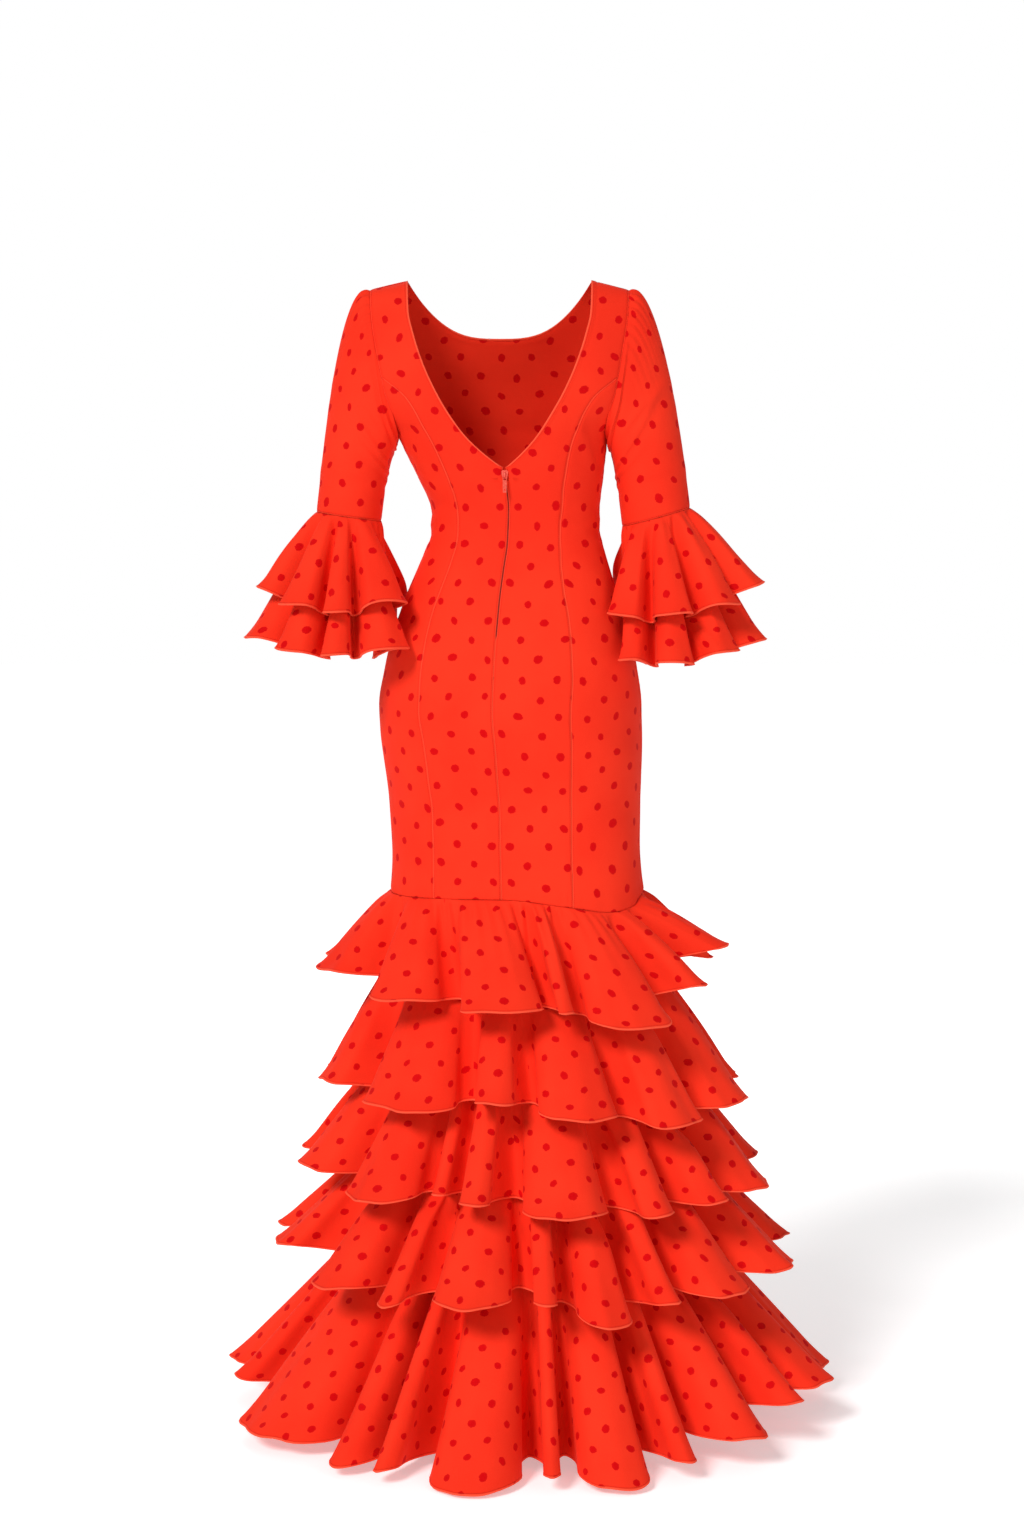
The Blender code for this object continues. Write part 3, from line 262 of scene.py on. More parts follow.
TIER_FOLDS = (
    named(
        Fold,
        (15, 35, 1.0, 0.78, 0.2, 0.1, -0.884), (50, 66, 1.0, 0.78, 0.2, 0.24, -0.908),
        (81, 98, 1.02, 0.8, 0.1, 0.34, -0.915), (103, 109, 0.98, 0.82, 0.05, 0.1, -0.918),
        (126, 143, 1.04, 0.78, 0.24, 0.22, -0.94), (151, 159, 1.0, 0.8, 0.1, 0.18, -0.899),
        (169, 184, 1.02, 0.78, 0.15, 0.2, -0.858), (198, 213, 0.98, 0.8, 0.2, 0.12, -0.89),
        (229, 246, 1.0, 0.78, 0.16, 0.26, -0.912), (259, 272, 1.02, 0.8, 0.12, 0.2, -0.922),
        (287, 302, 1.0, 0.78, 0.2, 0.22, -0.926), (319, 335, 1.01, 0.8, 0.14, 0.24, -0.908),
        (347, 359, 0.97, 0.8, 0.15, 0.15, -0.88),
    ),
    named(
        Fold,
        (14, 29, 1.0, 0.78, 0.2, 0.14, -1.031), (50, 69, 1.0, 0.8, 0.22, 0.2, -1.043),
        (79, 89, 0.97, 0.79, 0.12, 0.14, -1.026), (103, 117, 1.0, 0.8, 0.22, 0.32, -1.046),
        (131, 147, 1.02, 0.78, 0.12, 0.24, -1.064), (163, 180, 1.01, 0.8, 0.22, 0.2, -1.057),
        (196, 212, 0.99, 0.78, 0.16, 0.24, -1.046), (228, 244, 1.01, 0.8, 0.2, 0.16, -1.04),
        (259, 274, 1.0, 0.78, 0.16, 0.26, -1.052), (290, 305, 1.01, 0.8, 0.12, 0.22, -1.048),
        (321, 337, 1.0, 0.78, 0.22, 0.16, -1.04), (349, 361, 0.97, 0.79, 0.16, 0.16, -1.03),
    ),
    named(
        Fold,
        (16, 31, 1.0, 0.8, 0.18, 0.2, -1.139), (45, 60, 1.0, 0.81, 0.22, 0.16, -1.158),
        (64, 69, 0.9, 0.8, 0.05, 0.05, -1.146), (76, 84, 1.0, 0.79, 0.16, 0.16, -1.149),
        (99, 113, 1.02, 0.8, 0.26, 0.32, -1.163), (122, 132, 1.0, 0.8, 0.1, 0.2, -1.171),
        (141, 151, 1.0, 0.79, 0.18, 0.2, -1.166), (164, 180, 1.02, 0.8, 0.22, 0.18, -1.168),
        (195, 210, 1.0, 0.78, 0.2, 0.16, -1.156), (226, 243, 1.01, 0.8, 0.14, 0.26, -1.164),
        (257, 271, 1.0, 0.79, 0.16, 0.2, -1.158), (287, 303, 1.02, 0.8, 0.2, 0.22, -1.166),
        (318, 333, 1.0, 0.78, 0.16, 0.24, -1.156), (347, 361, 1.0, 0.8, 0.2, 0.16, -1.142),
    ),
    named(
        Fold,
        (16, 27, 1.0, 0.82, 0.18, 0.1, -1.238), (40, 51, 1.01, 0.8, 0.34, 0.14, -1.268),
        (57, 63, 1.0, 0.83, 0.14, 0.12, -1.275), (75, 86, 1.0, 0.79, 0.3, 0.34, -1.268),
        (92, 98, 0.99, 0.82, 0.05, 0.1, -1.262), (106, 115, 1.02, 0.8, 0.18, 0.22, -1.293),
        (120, 127, 0.99, 0.8, 0.08, 0.14, -1.272), (138, 150, 1.01, 0.78, 0.22, 0.18, -1.274),
        (163, 177, 1.01, 0.8, 0.2, 0.2, -1.27), (192, 207, 1.0, 0.78, 0.18, 0.22, -1.264),
        (221, 235, 1.0, 0.8, 0.14, 0.18, -1.276), (250, 265, 1.01, 0.78, 0.22, 0.26, -1.27),
        (279, 293, 1.0, 0.8, 0.12, 0.18, -1.28), (308, 323, 1.01, 0.78, 0.2, 0.24, -1.27),
        (335, 347, 0.99, 0.8, 0.14, 0.18, -1.258), (355, 364, 0.98, 0.81, 0.14, 0.12, -1.24),
    ),
    named(
        Fold,
        (6, 12, 0.99, 0.82, 0.16, 0.12, -1.431), (28, 45, 1.03, 0.78, 0.28, 0.2, -1.461),
        (51, 57, 1.0, 0.8, 0.18, 0.18, -1.47), (61, 66, 1.0, 0.76, 0.12, 0.18, -1.464),
        (78, 89, 1.02, 0.77, 0.28, 0.26, -1.478), (93, 97, 0.96, 0.8, 0.1, 0.1, -1.46),
        (106, 115, 1.01, 0.78, 0.22, 0.22, -1.474), (119, 125, 0.98, 0.76, 0.14, 0.18, -1.456),
        (134, 142, 1.01, 0.8, 0.22, 0.2, -1.441), (147, 153, 1.0, 0.8, 0.14, 0.18, -1.418),
        (163, 176, 1.0, 0.78, 0.18, 0.2, -1.418), (190, 204, 1.0, 0.78, 0.2, 0.2, -1.44),
        (217, 230, 1.01, 0.78, 0.18, 0.24, -1.466), (243, 256, 1.0, 0.77, 0.2, 0.2, -1.474),
        (269, 282, 1.02, 0.78, 0.18, 0.24, -1.478), (295, 308, 1.0, 0.77, 0.22, 0.18, -1.474),
        (320, 333, 1.01, 0.78, 0.18, 0.22, -1.458), (347, 360, 1.04, 0.8, 0.2, 0.2, -1.436),
    ),
)
# The sleeve flounces, about the wrist's axis. Angles are from the outer side (0) through the back
# (90) to the side facing the hip (180).
WRIST_FLOUNCES = {
    "upper_left": Flounce(0, 0.1950, 0.004, 0.0420, 0.0455, 0.0455, 0.1950, 0.006, 0.119, 0.106, 0.096),
    "lower_left": Flounce(0, 0.1950, 0.004, 0.0402, 0.0437, 0.0437, 0.1950, 0.006, 0.131, 0.114, 0.106),
    "upper_right": Flounce(0, -0.2025, 0.004, 0.0440, 0.0460, 0.0460, -0.2125, 0.006, 0.126, 0.106, 0.096),
    "lower_right": Flounce(0, -0.2025, 0.004, 0.0422, 0.0442, 0.0442, -0.2150, 0.006, 0.124, 0.114, 0.106),
}
WRIST_FOLDS = {
    "upper_left": named(
        Fold,
        (14, 37, 1.0, 0.68, 0.16, 0.12, -0.392), (54, 70, 1.02, 0.68, 0.2, 0.2, -0.412),
        (84, 97, 1.0, 0.68, 0.16, 0.2, -0.419), (118, 142, 1.02, 0.52, 0.14, 0.1, -0.408),
        (176, 208, 0.46, 0.44, 0.04, 0.04, -0.42), (236, 255, 0.96, 0.66, 0.16, 0.2, -0.41),
        (277, 297, 1.0, 0.68, 0.2, 0.16, -0.412), (321, 344, 1.0, 0.68, 0.16, 0.18, -0.398),
    ),
    "lower_left": named(
        Fold,
        (13, 37, 1.01, 0.6, 0.2, 0.18, -0.456), (53, 70, 1.02, 0.58, 0.14, 0.22, -0.468),
        (83, 97, 1.0, 0.58, 0.2, 0.18, -0.475), (116, 142, 1.02, 0.4, 0.16, 0.1, -0.466),
        (176, 208, 0.32, 0.34, 0.04, 0.04, -0.478), (235, 255, 0.94, 0.56, 0.16, 0.18, -0.47),
        (276, 297, 1.0, 0.58, 0.2, 0.2, -0.468), (320, 344, 1.0, 0.6, 0.16, 0.18, -0.458),
    ),
    "upper_right": named(
        Fold,
        (12, 32, 1.02, 0.68, 0.16, 0.18, -0.388), (49, 68, 1.0, 0.66, 0.18, 0.2, -0.41),
        (86, 103, 1.0, 0.68, 0.2, 0.16, -0.423), (119, 139, 1.0, 0.52, 0.14, 0.1, -0.424),
        (176, 208, 0.42, 0.42, 0.04, 0.04, -0.424), (236, 255, 0.92, 0.64, 0.16, 0.2, -0.414),
        (277, 297, 1.0, 0.68, 0.2, 0.16, -0.412), (321, 345, 1.0, 0.68, 0.16, 0.18, -0.394),
    ),
    "lower_right": named(
        Fold,
        (13, 32, 1.01, 0.6, 0.18, 0.2, -0.46), (51, 68, 1.0, 0.58, 0.16, 0.2, -0.472),
        (85, 103, 1.02, 0.58, 0.2, 0.18, -0.484), (118, 139, 1.0, 0.4, 0.14, 0.1, -0.48),
        (176, 208, 0.3, 0.32, 0.04, 0.04, -0.48), (234, 255, 0.92, 0.54, 0.16, 0.18, -0.474),
        (277, 297, 0.98, 0.58, 0.16, 0.16, -0.47), (321, 345, 0.98, 0.6, 0.12, 0.18, -0.462),
    ),
}

Hoop = namedtuple("Hoop", "z middle_x half_width back front")
UNDERSKIRT = named(
    Hoop,
    (-0.7920, -0.0222, 0.1630, 0.1065, 0.1055),
    (-0.8800, -0.0290, 0.1700, 0.1275, 0.1255),
    (-1.0000, -0.0350, 0.1820, 0.1495, 0.1465),
    (-1.1180, -0.0400, 0.1950, 0.1695, 0.1655),
    (-1.2390, -0.0430, 0.2095, 0.1900, 0.1860),
)

# Soft creases: their middle, half length and half width, slant and height.
Crease = namedtuple("Crease", "angle z long wide slant high")
BODY_CREASES = named(
    Crease,
    (22.0, -0.306, 0.050, 0.0060, 6.0, 0.0018),
    (30.0, -0.322, 0.060, 0.0070, -5.0, 0.0017),
    (16.0, -0.338, 0.045, 0.0070, 14.0, 0.0016),
    (158.0, -0.302, 0.046, 0.0060, -10.0, 0.0019),
    (150.0, -0.318, 0.060, 0.0070, 4.0, 0.0018),
    (164.0, -0.336, 0.046, 0.0070, -12.0, 0.0016),
    (116.0, -0.320, 0.040, 0.0070, 4.0, 0.0010),
    (66.0, -0.318, 0.040, 0.0070, -4.0, 0.0010),
    (40.0, -0.205, 0.040, 0.0080, 40.0, 0.0014),
    (140.0, -0.207, 0.040, 0.0080, -40.0, 0.0014),
    (27.0, -0.235, 0.034, 0.0080, 30.0, 0.0012),
    (153.0, -0.238, 0.034, 0.0080, -28.0, 0.0012),
    (50.0, -0.560, 0.090, 0.0150, 20.0, 0.0014),
    (128.0, -0.585, 0.090, 0.0150, -16.0, 0.0014),
    (90.0, -0.640, 0.120, 0.0180, 3.0, 0.0010),
    (62.0, -0.700, 0.090, 0.0140, 12.0, 0.0012),
    (142.0, -0.690, 0.080, 0.0150, -14.0, 0.0013),
    (205.0, -0.309, 0.050, 0.0060, -6.0, 0.0017),
    (214.0, -0.326, 0.060, 0.0070, 6.0, 0.0016),
    (335.0, -0.305, 0.050, 0.0060, 7.0, 0.0018),
    (326.0, -0.324, 0.060, 0.0070, -6.0, 0.0016),
    (270.0, -0.322, 0.070, 0.0080, 2.0, 0.0012),
    (232.0, -0.560, 0.090, 0.0150, 16.0, 0.0013),
    (305.0, -0.600, 0.090, 0.0150, -18.0, 0.0013),
    (270.0, -0.660, 0.120, 0.0180, 4.0, 0.0011),
)
SleeveCrease = namedtuple("SleeveCrease", "share around long wide slant high")
SLEEVE_CREASES = named(
    SleeveCrease,
    (0.10, 150.0, 0.050, 0.0060, 50.0, 0.0026),
    (0.17, 120.0, 0.060, 0.0070, 35.0, 0.0022),
    (0.26, 160.0, 0.050, 0.0070, 30.0, 0.0020),
    (0.47, 60.0, 0.050, 0.0080, -24.0, 0.0016),
    (0.54, 110.0, 0.055, 0.0080, 18.0, 0.0018),
    (0.66, 150.0, 0.050, 0.0080, 12.0, 0.0016),
    (0.80, 60.0, 0.050, 0.0080, -14.0, 0.0014),
    (0.34, 250.0, 0.050, 0.0080, -30.0, 0.0018),
    (0.55, 290.0, 0.055, 0.0080, 20.0, 0.0018),
    (0.72, 220.0, 0.050, 0.0080, -16.0, 0.0016),
)
ArmRing = namedtuple("ArmRing", "z radius middle_x")
ARM_RINGS = named(
    ArmRing,
    (0.000, 0.0600, 0.150),
    (-0.060, 0.0590, 0.156),
    (-0.120, 0.0570, 0.164),
    (-0.200, 0.0510, 0.177),
    (-0.310, 0.0440, 0.196),
)
# The line down the body that each panel's grain follows, in degrees, and where its dots start.
PANEL_GRAIN = {
    "front_centre": (270.0, 0.0),
    "back_centre_left": (90.0, 0.0100),
    "back_centre_right": (90.0, -0.0130),
    "back_side_left": (0.0, 0.0150),
    "back_side_right": (180.0, 0.0020),
    "front_side_left": (360.0, -0.0080),
    "front_side_right": (180.0, 0.0120),
}
# How a flounce hangs: lower is how much lower its hollows hang than its crests.
Look = namedtuple("Look", "seed openness bulge gather lower")
TIER_LOOK = named(
    Look,
    (1.3, 1.50, 0.20, 0.0040, 0.000),
    (2.7, 1.35, 0.08, 0.0016, 0.004),
    (4.1, 1.80, 0.06, 0.0014, 0.003),
    (5.9, 1.90, 0.06, 0.0014, 0.003),
    (7.7, 1.65, 0.05, 0.0014, 0.001),
)
WristPlan = namedtuple("WristPlan", "inset bulge gather clearance rows length")
WRIST_PLANS = {
    "upper": WristPlan(0.0, 0.16, 0.0026, 0.0075, 16, 0.11),
    "lower": WristPlan(FLOUNCE_WALL + 0.0008, -0.10, 0.0008, 0.0135, 22, 0.17),
}


# ---------------------------------------------------------------- small tools
def wave(seed):
    """A fixed number from -1 to 1 for a seed."""
    value = math.sin(seed * 127.1 + 311.7) * 43758.5453
    return 2.0 * (value - math.floor(value)) - 1.0


def unit(vectors):
    return vectors / np.maximum(np.linalg.norm(vectors, axis=-1, keepdims=True), 1e-12)


def smooth_step(low, high, value):
    share = np.clip((value - low) / (high - low), 0.0, 1.0)
    return share * share * (3.0 - 2.0 * share)


def bump(value, centre, width):
    return np.exp(-(((value - centre) / width) ** 2))


def soft_table(rows, z, column, key="z"):
    """A table's column at each height, on a smooth curve that doesn't overshoot its rows."""
    ordered = sorted(rows, key=lambda row: getattr(row, key))
    xs = np.array([getattr(row, key) for row in ordered], float)
    ys = np.array([getattr(row, column) for row in ordered], float)
    gaps = np.diff(xs)
    slopes = np.diff(ys) / gaps
    tangents = np.zeros_like(ys)
    same = slopes[1:] * slopes[:-1] > 0
    mean = 2.0 * slopes[1:] * slopes[:-1] / np.where(same, slopes[1:] + slopes[:-1], 1.0)
    tangents[1:-1] = np.where(same, mean, 0.0)
    tangents[0] = slopes[0]
    tangents[-1] = slopes[-1]
    z = np.clip(np.asarray(z, float), xs[0], xs[-1])
    i = np.clip(np.searchsorted(xs, z, side="right") - 1, 0, len(gaps) - 1)
    t = (z - xs[i]) / gaps[i]
    t2 = t * t
    t3 = t2 * t
    return (
        ys[i] * (2 * t3 - 3 * t2 + 1)
        + gaps[i] * tangents[i] * (t3 - 2 * t2 + t)
        + ys[i + 1] * (3 * t2 - 2 * t3)
        + gaps[i] * tangents[i + 1] * (t3 - t2)
    )


def closed(ring):
    """A ring's grid with its first column again at its end."""
    return np.concatenate([ring, ring[:, :1]], axis=1)


def arc(points, axis):
    """How far each point is along its row or column."""
    steps = np.linalg.norm(np.diff(points, axis=axis), axis=-1)
    start = np.zeros_like(np.take(steps, [0], axis=axis))
    return np.concatenate([start, np.cumsum(steps, axis=axis)], axis=axis)


def grid_inward(points):
    """The inward directions of a ring's surface."""
    across = np.roll(points, -1, axis=1) - np.roll(points, 1, axis=1)
    return unit(np.cross(across, np.gradient(points, axis=0)))


def crease(across, up, slant, long, wide, high, hollow, beside):
    """A ridge with a softer hollow beside it, at places measured from its middle."""
    c = math.cos(math.radians(slant))
    s = math.sin(math.radians(slant))
    along = across * c + up * s
    over = -across * s + up * c
    ridge = bump(over, 0.0, wide) - hollow * bump(over, beside * wide, 1.3 * wide)
    return high * ridge * np.exp(-((along / long) ** 4))


def placed(name, data):
    """A new object in the scene."""
    thing = bpy.data.objects.new(name, data)
    bpy.context.scene.collection.objects.link(thing)
    return thing


# ---------------------------------------------------------------- the body tube
def body_points(angle, z):
    """Points on the outside of the body cloth, for arrays of angles and heights."""
    angle, z = np.broadcast_arrays(np.asarray(angle, float), np.asarray(z, float))
    part = {name: soft_table(BODY, z, name) for name in Section._fields[1:]}
    turn = np.radians(part["turn"])
    cosine = np.cos(np.radians(angle))
    sine = np.sin(np.radians(angle))
    power = 2.0 / part["square"]
    x = part["half_width"] * np.sign(cosine) * np.abs(cosine) ** power
    depth = np.where(sine > 0, part["back"], part["front"])
    y = depth * np.sign(sine) * np.abs(sine) ** power
    for side in (-1, 1):
        full = bump(x, side * BUST_X, BUST_SPREAD_X) * bump(z, BUST_Z, BUST_SPREAD_Z)
        y = np.where(y < 0, y - BUST_FULLNESS * full, y)
    fall = SHOULDER_SLOPE * np.maximum(0.0, np.abs(x) - NECK_X) * np.maximum(0.0, 1.0 + z / SLOPE_DEPTH)
    drop = soft_table(KNEE_DROPS, angle % 360.0, "fall", "angle")
    share = np.clip((KNEE_DROP_START_Z - z) / (KNEE_DROP_START_Z - SKIRT_SEAM_Z), 0.0, 1.2)
    fall = fall + drop * share
    world_x = part["centre_x"] + x * np.cos(turn) + y * np.sin(turn)
    return np.stack([world_x, y * np.cos(turn) - x * np.sin(turn), z - fall], axis=-1)


def body_out(angle, z):
    """The outward directions of the body cloth."""
    across = body_points(angle + 1.0, z) - body_points(angle - 1.0, z)
    down = body_points(angle, z - 0.003) - body_points(angle, np.minimum(0.0, z + 0.003))
    return -unit(np.cross(across, down))


def angle_at(z, across):
    """The angle, from the side, of a point that far across from the body's middle."""
    half = soft_table(BODY, z, "half_width")
    square = soft_table(BODY, z, "square")
    share = np.minimum(0.9999, np.abs(across) / half)
    return np.degrees(np.arccos(share ** (square / 2.0)))


def gap_angle(z):
    """Half of a seam's gap, as an angle."""
    size = sum(soft_table(BODY, z, column) for column in ("half_width", "back", "front")) / 3
    return np.degrees(SEAM_HALF_GAP / np.maximum(size, 0.05))


def princess_angle(z, face):
    return angle_at(z, soft_table(PRINCESS, z, face))


def armhole_angle(z, face):
    return soft_table(ARMHOLE, z, face)


def centre_angle(z):
    """The back's centre edge: the neckline, then the zip's slit, then the seam below it."""
    slit = np.where(z > SLIDER_END_Z, SLIT_AT_SLIDER, np.where(z > ZIP_END_Z, SLIT_BELOW, SEAM_HALF_GAP))
    ease = smooth_step(ZIP_END_Z - SLIT_EASE, ZIP_END_Z, z)
    slit = np.where(z > ZIP_END_Z - SLIT_EASE, np.maximum(slit * ease, SEAM_HALF_GAP), slit)
    return angle_at(z, np.where(z > V_POINT_Z, soft_table(BACK_NECK, z, "half_width"), slit))


# ---------------------------------------------------------------- meshes
def both_sides(values, columns, around):
    """Corner values of each column of faces, as (left, right), from a grid or from such a pair."""
    if isinstance(values, tuple):
        return values
    if values.shape[1] == columns and around:
        values = closed(values)
    return values[:, :-1], values[:, 1:]


def shell(name, outer, inward, wall, grain, around=False, edge=None):
    """A closed two-sided sheet from its outer grid, the inward directions and its wall.

    grain and edge hold UV places, in metres: a grid with one column for each point (and one more
    on a closed ring), or two grids, for the left and the right corners of each column of faces.
    """
    rows, columns = outer.shape[:2]
    wall = np.broadcast_to(np.asarray(wall, float), (rows, columns))
    inner = outer + inward * wall[..., None]
    points = np.concatenate([outer.reshape(-1, 3), inner.reshape(-1, 3)])
    half = rows * columns
    last = columns if around else columns - 1
    i, j = (part.ravel() for part in np.meshgrid(np.arange(rows - 1), np.arange(last), indexing="ij"))
    k = (j + 1) % columns
    a = i * columns + j
    b = i * columns + k
    c = (i + 1) * columns + k
    d = (i + 1) * columns + j
    faces = [np.stack([a, d, c, b], axis=1), np.stack([a, b, c, d], axis=1) + half]
    # Each corner's row, its column of faces and whether it is on the right.
    corners = [
        [(i, j, 0), (i + 1, j, 0), (i + 1, j, 1), (i, j, 1)],
        [(i, j, 0), (i, j, 1), (i + 1, j, 1), (i + 1, j, 0)],
    ]

    def rim(p, q, at_p, at_q):
        faces.append(np.stack([p, q, q + half, p + half], axis=1))
        corners.append([at_p, at_q, at_q, at_p])

    j = np.arange(last)
    k = (j + 1) % columns
    top = np.zeros_like(j)
    rim(j, k, (top, j, 0), (top, j, 1))
    low = (rows - 1) * columns
    rim(low + k, low + j, (top + rows - 1, j, 1), (top + rows - 1, j, 0))
    if not around:
        i = np.arange(rows - 1)
        first = np.zeros_like(i)
        rim((i + 1) * columns, i * columns, (i + 1, first, 0), (i, first, 0))
        end = columns - 1
        final = first + last - 1
        rim(i * columns + end, (i + 1) * columns + end, (i, final, 1), (i + 1, final, 1))
    mesh = bpy.data.meshes.new(name)
    mesh.from_pydata(points.tolist(), [], np.concatenate(faces).tolist())
    for label, values in (("Grain", grain), ("Edge", edge)):
        if values is None:
            continue
        pair = np.stack(both_sides(values, columns, around))
        layer = mesh.uv_layers.new(name=label)
        uv = [np.stack([pair[side, r, s] for r, s, side in four], axis=1) for four in corners]
        layer.data.foreach_set("uv", np.concatenate(uv).reshape(-1).astype(np.float32))
    mesh.polygons.foreach_set("use_smooth", np.ones(len(mesh.polygons), bool))
    mesh.update()
    return placed(name + "_cloth", mesh)


def finish_piece(thing, node, material):
    """A cloth piece's material, its body, and the hidden node it replaces."""
    thing.data.materials.append(material)
    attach(thing, "dress")
    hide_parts(node)


# ---------------------------------------------------------------- the bodice and skirt panels
def panel_grid(first_edge, second_edge, rows, columns):
    """Angles and heights over the body between two edges, closer together near the edges."""
    first = first_edge(rows)[:, None]
    second = second_edge(rows)[:, None]
    share = np.linspace(0.0, 1.0, columns)
    share = share - 0.085 * np.sin(2.0 * np.pi * share)
    angle = first + (second - first) * share[None, :]
    return angle, np.broadcast_to(rows[:, None], angle.shape)


def body_creases(angle, z):
    """Soft troughs and ridges of the worn body cloth, as a distance outward."""
    out = np.zeros_like(z)
    for row in BODY_CREASES:
        across = ((angle - row.angle + 180.0) % 360.0 - 180.0) * BODY_DEGREE
        out = out + crease(across, z - row.z, row.slant, row.long, row.wide, row.high, 0.55, 1.7)
    knee = bump(z, SKIRT_SEAM_Z, 0.014) * (1.0 - bump(z, SKIRT_SEAM_Z, 0.002))
    out = out + 0.0011 * knee * np.sin(angle * 1.7 + 2.0 * np.sin(angle * 0.31))
    return out + 0.0007 * np.sin(angle * 0.083 + z * 21.0) * np.sin(z * 33.0 + angle * 0.021 + 1.3)


def turned_edge(near):
    """A turned and stitched edge: a narrow raised band with a sunk line along it."""
    return 0.00045 * smooth_step(0.0078, 0.0058, near) - 0.0006 * bump(near, 0.0072, 0.0012)


def round_from(start, angle, z):
    """How far round the body each point is from a line straight down it."""
    turns = np.arange(0.0, 361.0, 2.0)
    heights = z.mean(axis=1)
    along = arc(body_points(turns[None, :], heights[:, None]), 1)
    return np.stack([np.interp(a, turns, r) - np.interp(start, turns, r) for a, r in zip(angle, along)])


def add_panel(name, angle, z, drawn=("seam", "seam")):
    """A body panel from its angles and heights; drawn says which edges are seams and which the neck."""
    base = body_points(angle, z)
    out = body_out(angle, z)
    if np.dot(np.cross(base[-1, 1] - base[-1, 0], base[-2, 0] - base[-1, 0]), out[-1, 0]) > 0:
        base, out, angle, z = (part[:, ::-1] for part in (base, out, angle, z))
        drawn = drawn[::-1]
    across = arc(base, 1)
    width = across[:, -1:]
    down = arc(base, 0)
    lift = body_creases(angle, z)
    edge = np.full(z.shape, 1.0)
    pucker = 0.5 + 0.5 * np.sin(z * 620.0 + 2.0 * np.sin(z * 97.0))
    for near, seam in zip((across, width - across), drawn):
        open_edge = np.where(z > V_POINT_Z, 1.0, 0.0) if seam == "neck" else 0.0
        lift = lift - (0.00055 + 0.00025 * pucker) * bump(near, 0.0, 0.0026) * (1.0 - open_edge)
        lift = lift + 0.00040 * pucker * bump(near, 0.006, 0.005) * (1.0 - open_edge)
        lift = lift + turned_edge(near) * open_edge
        edge = np.minimum(edge, near + SEAM_SHIFT * (1.0 - open_edge))
    if name == "front_centre":
        below = down[-1:] - down
        inside = (across > 0.22 * width) & (across < 0.78 * width)
        lift = lift + np.where(inside, turned_edge(below), 0.0)
        edge = np.where(inside, np.minimum(edge, below), edge)
    # The seam allowance makes the edges a little thicker.
    wall = WALL + 0.0005 * bump(np.minimum(across, width - across), 0.0, 0.007)
    points = base + out * lift[..., None]
    start, phase = PANEL_GRAIN[name]
    grain = np.stack([round_from(start, angle, z) + phase, -z], axis=-1)
    edge = np.stack([edge, down], axis=-1)
    thing = shell(name, points[::-1], -out[::-1], wall[::-1], grain[::-1], edge=edge[::-1])
    finish_piece(thing, name, cloth)


def signed(side, angle):
    """An angle of the left half of the back, as the same one on a side."""
    return angle if side > 0 else 180.0 - angle


def on_face(angle, face, side):
    """An angle from the side seam, as an angle round the body."""
    if face == "front":
        return 360.0 - angle if side > 0 else 180.0 + angle
    return signed(side, angle)


def centre_panel_edge(z, face):
    """A centre panel's outer edge: the princess seam, and the armhole above it."""
    return np.where(z <= PRINCESS_TOP_Z, princess_angle(z, face) + gap_angle(z), armhole_angle(z, face))


def side_seam(z, face, side):
    """A side panel's outer edge: the side seam, and the armhole above it."""
    angle = np.where(z >= UNDERARM_Z, armhole_angle(z, face), 0.0)
    return on_face(np.maximum(angle, gap_angle(z)), face, side)


def side_inner(z, face, side):
    return on_face(princess_angle(z, face) - gap_angle(z), face, side)


def make_body():
    count = round(-SKIRT_SEAM_Z / ROW_STEP)
    rows = np.concatenate([np.linspace(SKIRT_SEAM_Z, 0.0, count + 1), np.array(EXTRA_ROWS)])
    rows = np.unique(np.round(rows, 5))
    lower = rows[rows <= PRINCESS_TOP_Z]
    for label, side in (("left", 1), ("right", -1)):
        angle, z = panel_grid(
            lambda h, s=side: signed(s, centre_angle(h)),
            lambda h, s=side: signed(s, centre_panel_edge(h, "back")),
            rows,
            BACK_COLUMNS,
        )
        add_panel("back_centre_" + label, angle, z, ("neck", "seam"))
        for face in ("back", "front"):
            angle, z = panel_grid(
                lambda h, s=side, f=face: side_inner(h, f, s),
                lambda h, s=side, f=face: side_seam(h, f, s),
                lower,
                SIDE_COLUMNS,
            )
            add_panel(f"{face}_side_{label}", angle, z)
    # The front is one piece from princess seam to princess seam.
    share = np.linspace(-1.0, 1.0, FRONT_COLUMNS)
    share = share + 0.04 * np.sin(2.0 * np.pi * share)
    z = np.broadcast_to(rows[:, None], (len(rows), len(share)))
    inside = np.minimum(1.0, np.abs(share) / FRONT_NECK_SHARE)
    top = -FRONT_NECK_DEPTH * (1.0 - inside**2.4)
    high = PRINCESS_TOP_Z + (z - PRINCESS_TOP_Z) * (top / -PRINCESS_TOP_Z + 1.0)[None, :]
    z = np.where(z > PRINCESS_TOP_Z, high, z)
    add_panel("front_centre", 270.0 + share[None, :] * (90.0 - centre_panel_edge(z, "front")), z)


